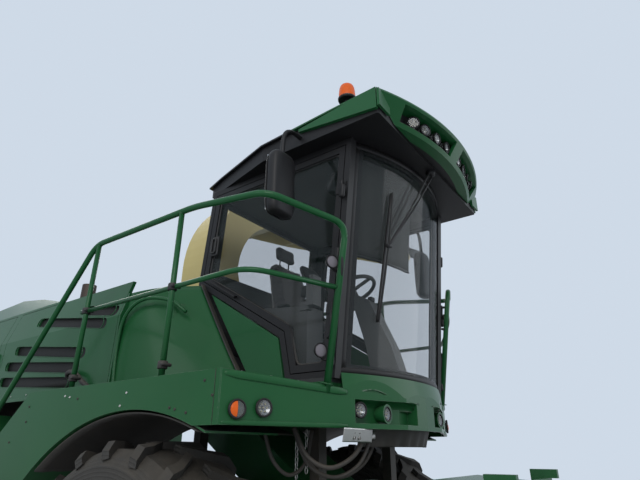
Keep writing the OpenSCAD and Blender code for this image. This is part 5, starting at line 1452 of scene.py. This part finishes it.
for end, *sizes in AXLES:
    dress_wheel(end + "_left_wheel", 1, *sizes)
    dress_wheel(end + "_right_wheel", -1, *sizes)
print("wheels", 2 * len(AXLES))

# %% [markdown]
# ## The rear and the hood
# At the back the radiator door is a wide dust screen in a frame with cross bars; beside it
# are the tail lamps. Fins on a pressed sheet are a wave along one direction, so the whole
# screen is one surface whose depth is a cosine of the height.

# %% Finish the rear


def door_x(z):
    """The rear face leans: out by 23 mm from z 1.65 to 2.30, then in by 57 mm up to 2.79."""
    return np.interp(z, [1.65, 2.30, 2.794], [-4.427, -4.450, -4.393])


FIN_PITCH = 0.022
u_rear, v_rear = np.meshgrid(span(-0.80, 0.80, 16), span(1.76, 2.70, 220), indexing="ij")
fins = xyz(door_x(v_rear) - 0.006 - 0.004 * np.cos(v_rear * 2 * np.pi / FIN_PITCH), u_rear, v_rear)
piece("rear_screen", *closed_sheet(fins, fins + 0.004 * X_AXIS), "rear_hood_door", screen, "black_plastic")
z_bar, y_bar = span(1.70, 2.745, 20), span(-0.87, 0.87, 12)
bars = [swept(xyz(door_x(z_bar) - 0.008, y, z_bar), superellipse(0.017, 0.009, 4.0, 16)[:, ::-1], up=X_AXIS)
        for y in (-0.86, -0.43, 0.0, 0.43, 0.86)]
bars += [swept(xyz(door_x(z) - 0.009, y_bar, z), superellipse(0.009, 0.017, 4.0, 16))
         for z in (1.715, 2.22, 2.735)]
piece("rear_screen_bars", *joined(bars), "rear_hood_door", trim, "black_plastic")
piece("rear_latch", *pebble((-4.452, -0.83, 2.22), (0.012, 0.022, 0.050)), "rear_hood_door", steel, "steel")
print("bars", len(bars))

# %% [markdown]
# A tail lamp is the same soft block as a monitor, with a rubber rim swept round its outline.
# The latch on each side door of the hood is an upright handle above a small boss.

# %% Tail lamps and latches
tails, tail_rims = [], []
for z, tall in ((1.800, 0.060), (1.945, 0.045)):
    at = np.array([float(door_x(z)) - 0.004, 1.030, z])
    tails.append(pebble(at, (0.014, 0.045, tall), power=5.0))
    edge = at + xyz(-0.002, *superellipse(0.050, tall + 0.006, 5.0, 40).T)
    tail_rims.append(swept(edge, circle(0.006, 8), up=X_AXIS, ring=True))
piece("tail_lamps", *both(tails[0]), "chassis", red, "lamp_amber")
piece("tail_indicators", *both(tails[1]), "chassis", amber, "lamp_amber")
piece("tail_rims", *both(joined(tail_rims)), "chassis", rubber, "black_plastic")
handle = joined([pebble((-4.130, 1.1350, 2.00), (0.014, 0.014, 0.060)),
                 pebble((-4.130, 1.1320, 1.70), (0.02, 0.008, 0.02))])
piece("left_hood_latch", *handle, "left_hood_door", trim, "black_plastic")
piece("right_hood_latch", *mirrored(handle), "right_hood_door", trim, "black_plastic")
print("lamps behind", 2 * len(tails))

# %% [markdown]
# ## Spout and feeder details
# The spout is folded from sheet, so bands stiffen it, and two steel lines run along its edge
# to the flap. The feeder's side plates are bolted. These ride on their own moving bodies.

# %% Band the spout, bolt the feeder
ARM_Y = [0.6, 0.9, 1.5, 2.5, 3.5, 3.9]


def arm_low(y):
    """Height of the arm's underside at a distance to the left."""
    return np.interp(y, ARM_Y, [4.011, 4.064, 4.181, 4.398, 4.616, 4.702])


def arm_high(y):
    """Height of the arm's top at a distance to the left."""
    return np.interp(y, ARM_Y, [4.357, 4.410, 4.515, 4.692, 4.868, 4.938])


BAND_X, LINE_X = (-1.009, -0.571), -0.566
bands = []
for y in (1.15, 2.05, 2.95, 3.70):
    low, high = float(arm_low(y)), float(arm_high(y))
    corners = np.array([(BAND_X[0], low - 0.003), (BAND_X[1], low - 0.003), (BAND_X[1], high + 0.003),
                        (BAND_X[0], high + 0.003)])
    loop = rounded_outline(corners, 0.02, 5)
    bands.append(swept(in_plane(loop, y - (loop[:, 1] - low) * 0.15), superellipse(0.004, 0.020, 4.0, 12),
                       up=Y_AXIS, ring=True))
piece("spout_bands", *joined(bands), "spout_boom", spout_yellow, "paint_yellow")
y_line = span(0.75, 3.80, 60)
lines = [swept(xyz(LINE_X + k * 0.002, y_line, arm_low(y_line) + 0.030 + 0.022 * k), circle(0.007, 10))
         for k in range(2)]
clips = [pebble((LINE_X, y, float(arm_low(y)) + 0.042), (0.010, 0.014, 0.026), rows=9, columns=16)
         for y in span(0.95, 3.6, 6)]
piece("spout_lines", *joined(lines + clips), "spout_boom", chassis_black, "black_plastic")
feeder_bolts = [button((x, 0.5005, z), r=0.012) for x, z in (
    (0.70, 1.22), (0.70, 1.08), (0.95, 1.38), (0.95, 0.95), (1.20, 1.46), (1.20, 0.92), (1.45, 1.50),
    (1.45, 0.86), (1.70, 1.52), (1.70, 0.86), (1.78, 1.30), (1.78, 1.08))]
covers = [turned([(0.070, 0.0), (0.070, 0.010), (0.060, 0.016), (0.030, 0.018), (0.0, 0.018), (0.0, 0.0)],
                 (x, 0.5003, 1.15), Y_AXIS, 32) for x in (1.00, 1.32)]
piece("feeder_bolts", *both(joined(feeder_bolts)), "feed_housing_body", steel, "steel")
piece("feeder_covers", *both(joined(covers)), "feed_housing_body", chassis_black, "frame_black")
print("bands", len(bands), "bolts a side", len(feeder_bolts))

# %% [markdown]
# ## Grips on the stairs
# The edge of each tread is ribbed, so that a muddy boot holds. Four thin rods lie along every
# tread, and a small wave of their height stands for the ribs.

# %% Lay the grips
STEPS, STEP_RISE, STEP_RUN, GRIPS = 5, 0.224, 0.190, 4
grip_y = span(1.015, 1.385, 40)
grips = [swept(xyz(-1.390 - STEP_RUN * step + 0.055 * k, grip_y,
                   1.881 - STEP_RISE * step + 0.002 * np.sin(grip_y * 220)), circle(0.004, 6))
         for step in range(STEPS) for k in range(GRIPS)]
piece("step_grips", *both(joined(grips)), "chassis", rubber, "black_plastic")
print("grips a side", len(grips))

# %% [markdown]
# ## Knives of the cutterhead
# Behind the feed rolls turns a drum with knives that cut the crop against a fixed bar. The
# knives stand in two rows that meet in a V, so a cut starts at the middle and runs outwards.
# Each knife is one thin section carried across the drum while its angle round the axle grows
# with the distance from the middle.

# %% Set the knives on the drum
DRUM, DRUM_HALF, KNIVES, HELIX = np.array([0.62, 0.0, 1.15]), 0.320, 10, 40.0  # degrees a metre
knife_section = np.array([(0.3285, -0.016), (0.3285, 0.008), (0.341, 0.012), (0.355, 0.017), (0.352, 0.011),
                          (0.340, -0.002)])  # distance from the axle, distance round it


def knife(start):
    """One knife on the left half: at y the section lies at the angle start + 40 y + s/r,
    in degrees and metres, which makes the edge a helix."""
    y = span(0.012, DRUM_HALF, 14)[:, None]
    r, s = knife_section.T
    angle = math.radians(start) + math.radians(HELIX) * y + s / r
    return grid_of(DRUM + xyz(r * np.cos(angle), y, r * np.sin(angle)), (False, True))


def knife_clamp(start, y):
    """A block with a bevelled top that holds the knife's foot, 44 mm wide."""
    angle = math.radians(start + HELIX * y)
    out = xyz(math.cos(angle), 0, math.sin(angle))
    round_way = xyz(-math.sin(angle), 0, math.cos(angle))
    foot = DRUM + y * Y_AXIS + 0.326 * out - 0.024 * round_way
    outline = [foot + w * Y_AXIS + s * round_way
               for w, s in ((-0.022, -0.012), (0.022, -0.012), (0.022, 0.014), (-0.022, 0.014))]
    return slab(outline, 0.014 * out, bevel=0.003)


starts = span(0.0, 360.0, KNIVES, endpoint=False)
knives = [knife(start) for start in starts]
clamps = [knife_clamp(start, y) for start in starts for y in (0.07, 0.17, 0.27)]
piece("cutter_knives", *both(joined(knives)), "cutterhead_body", steel, "steel")
piece("knife_clamps", *both(joined(clamps)), "cutterhead_body", cast, "cast", smooth=False)
print("knives", 2 * KNIVES)
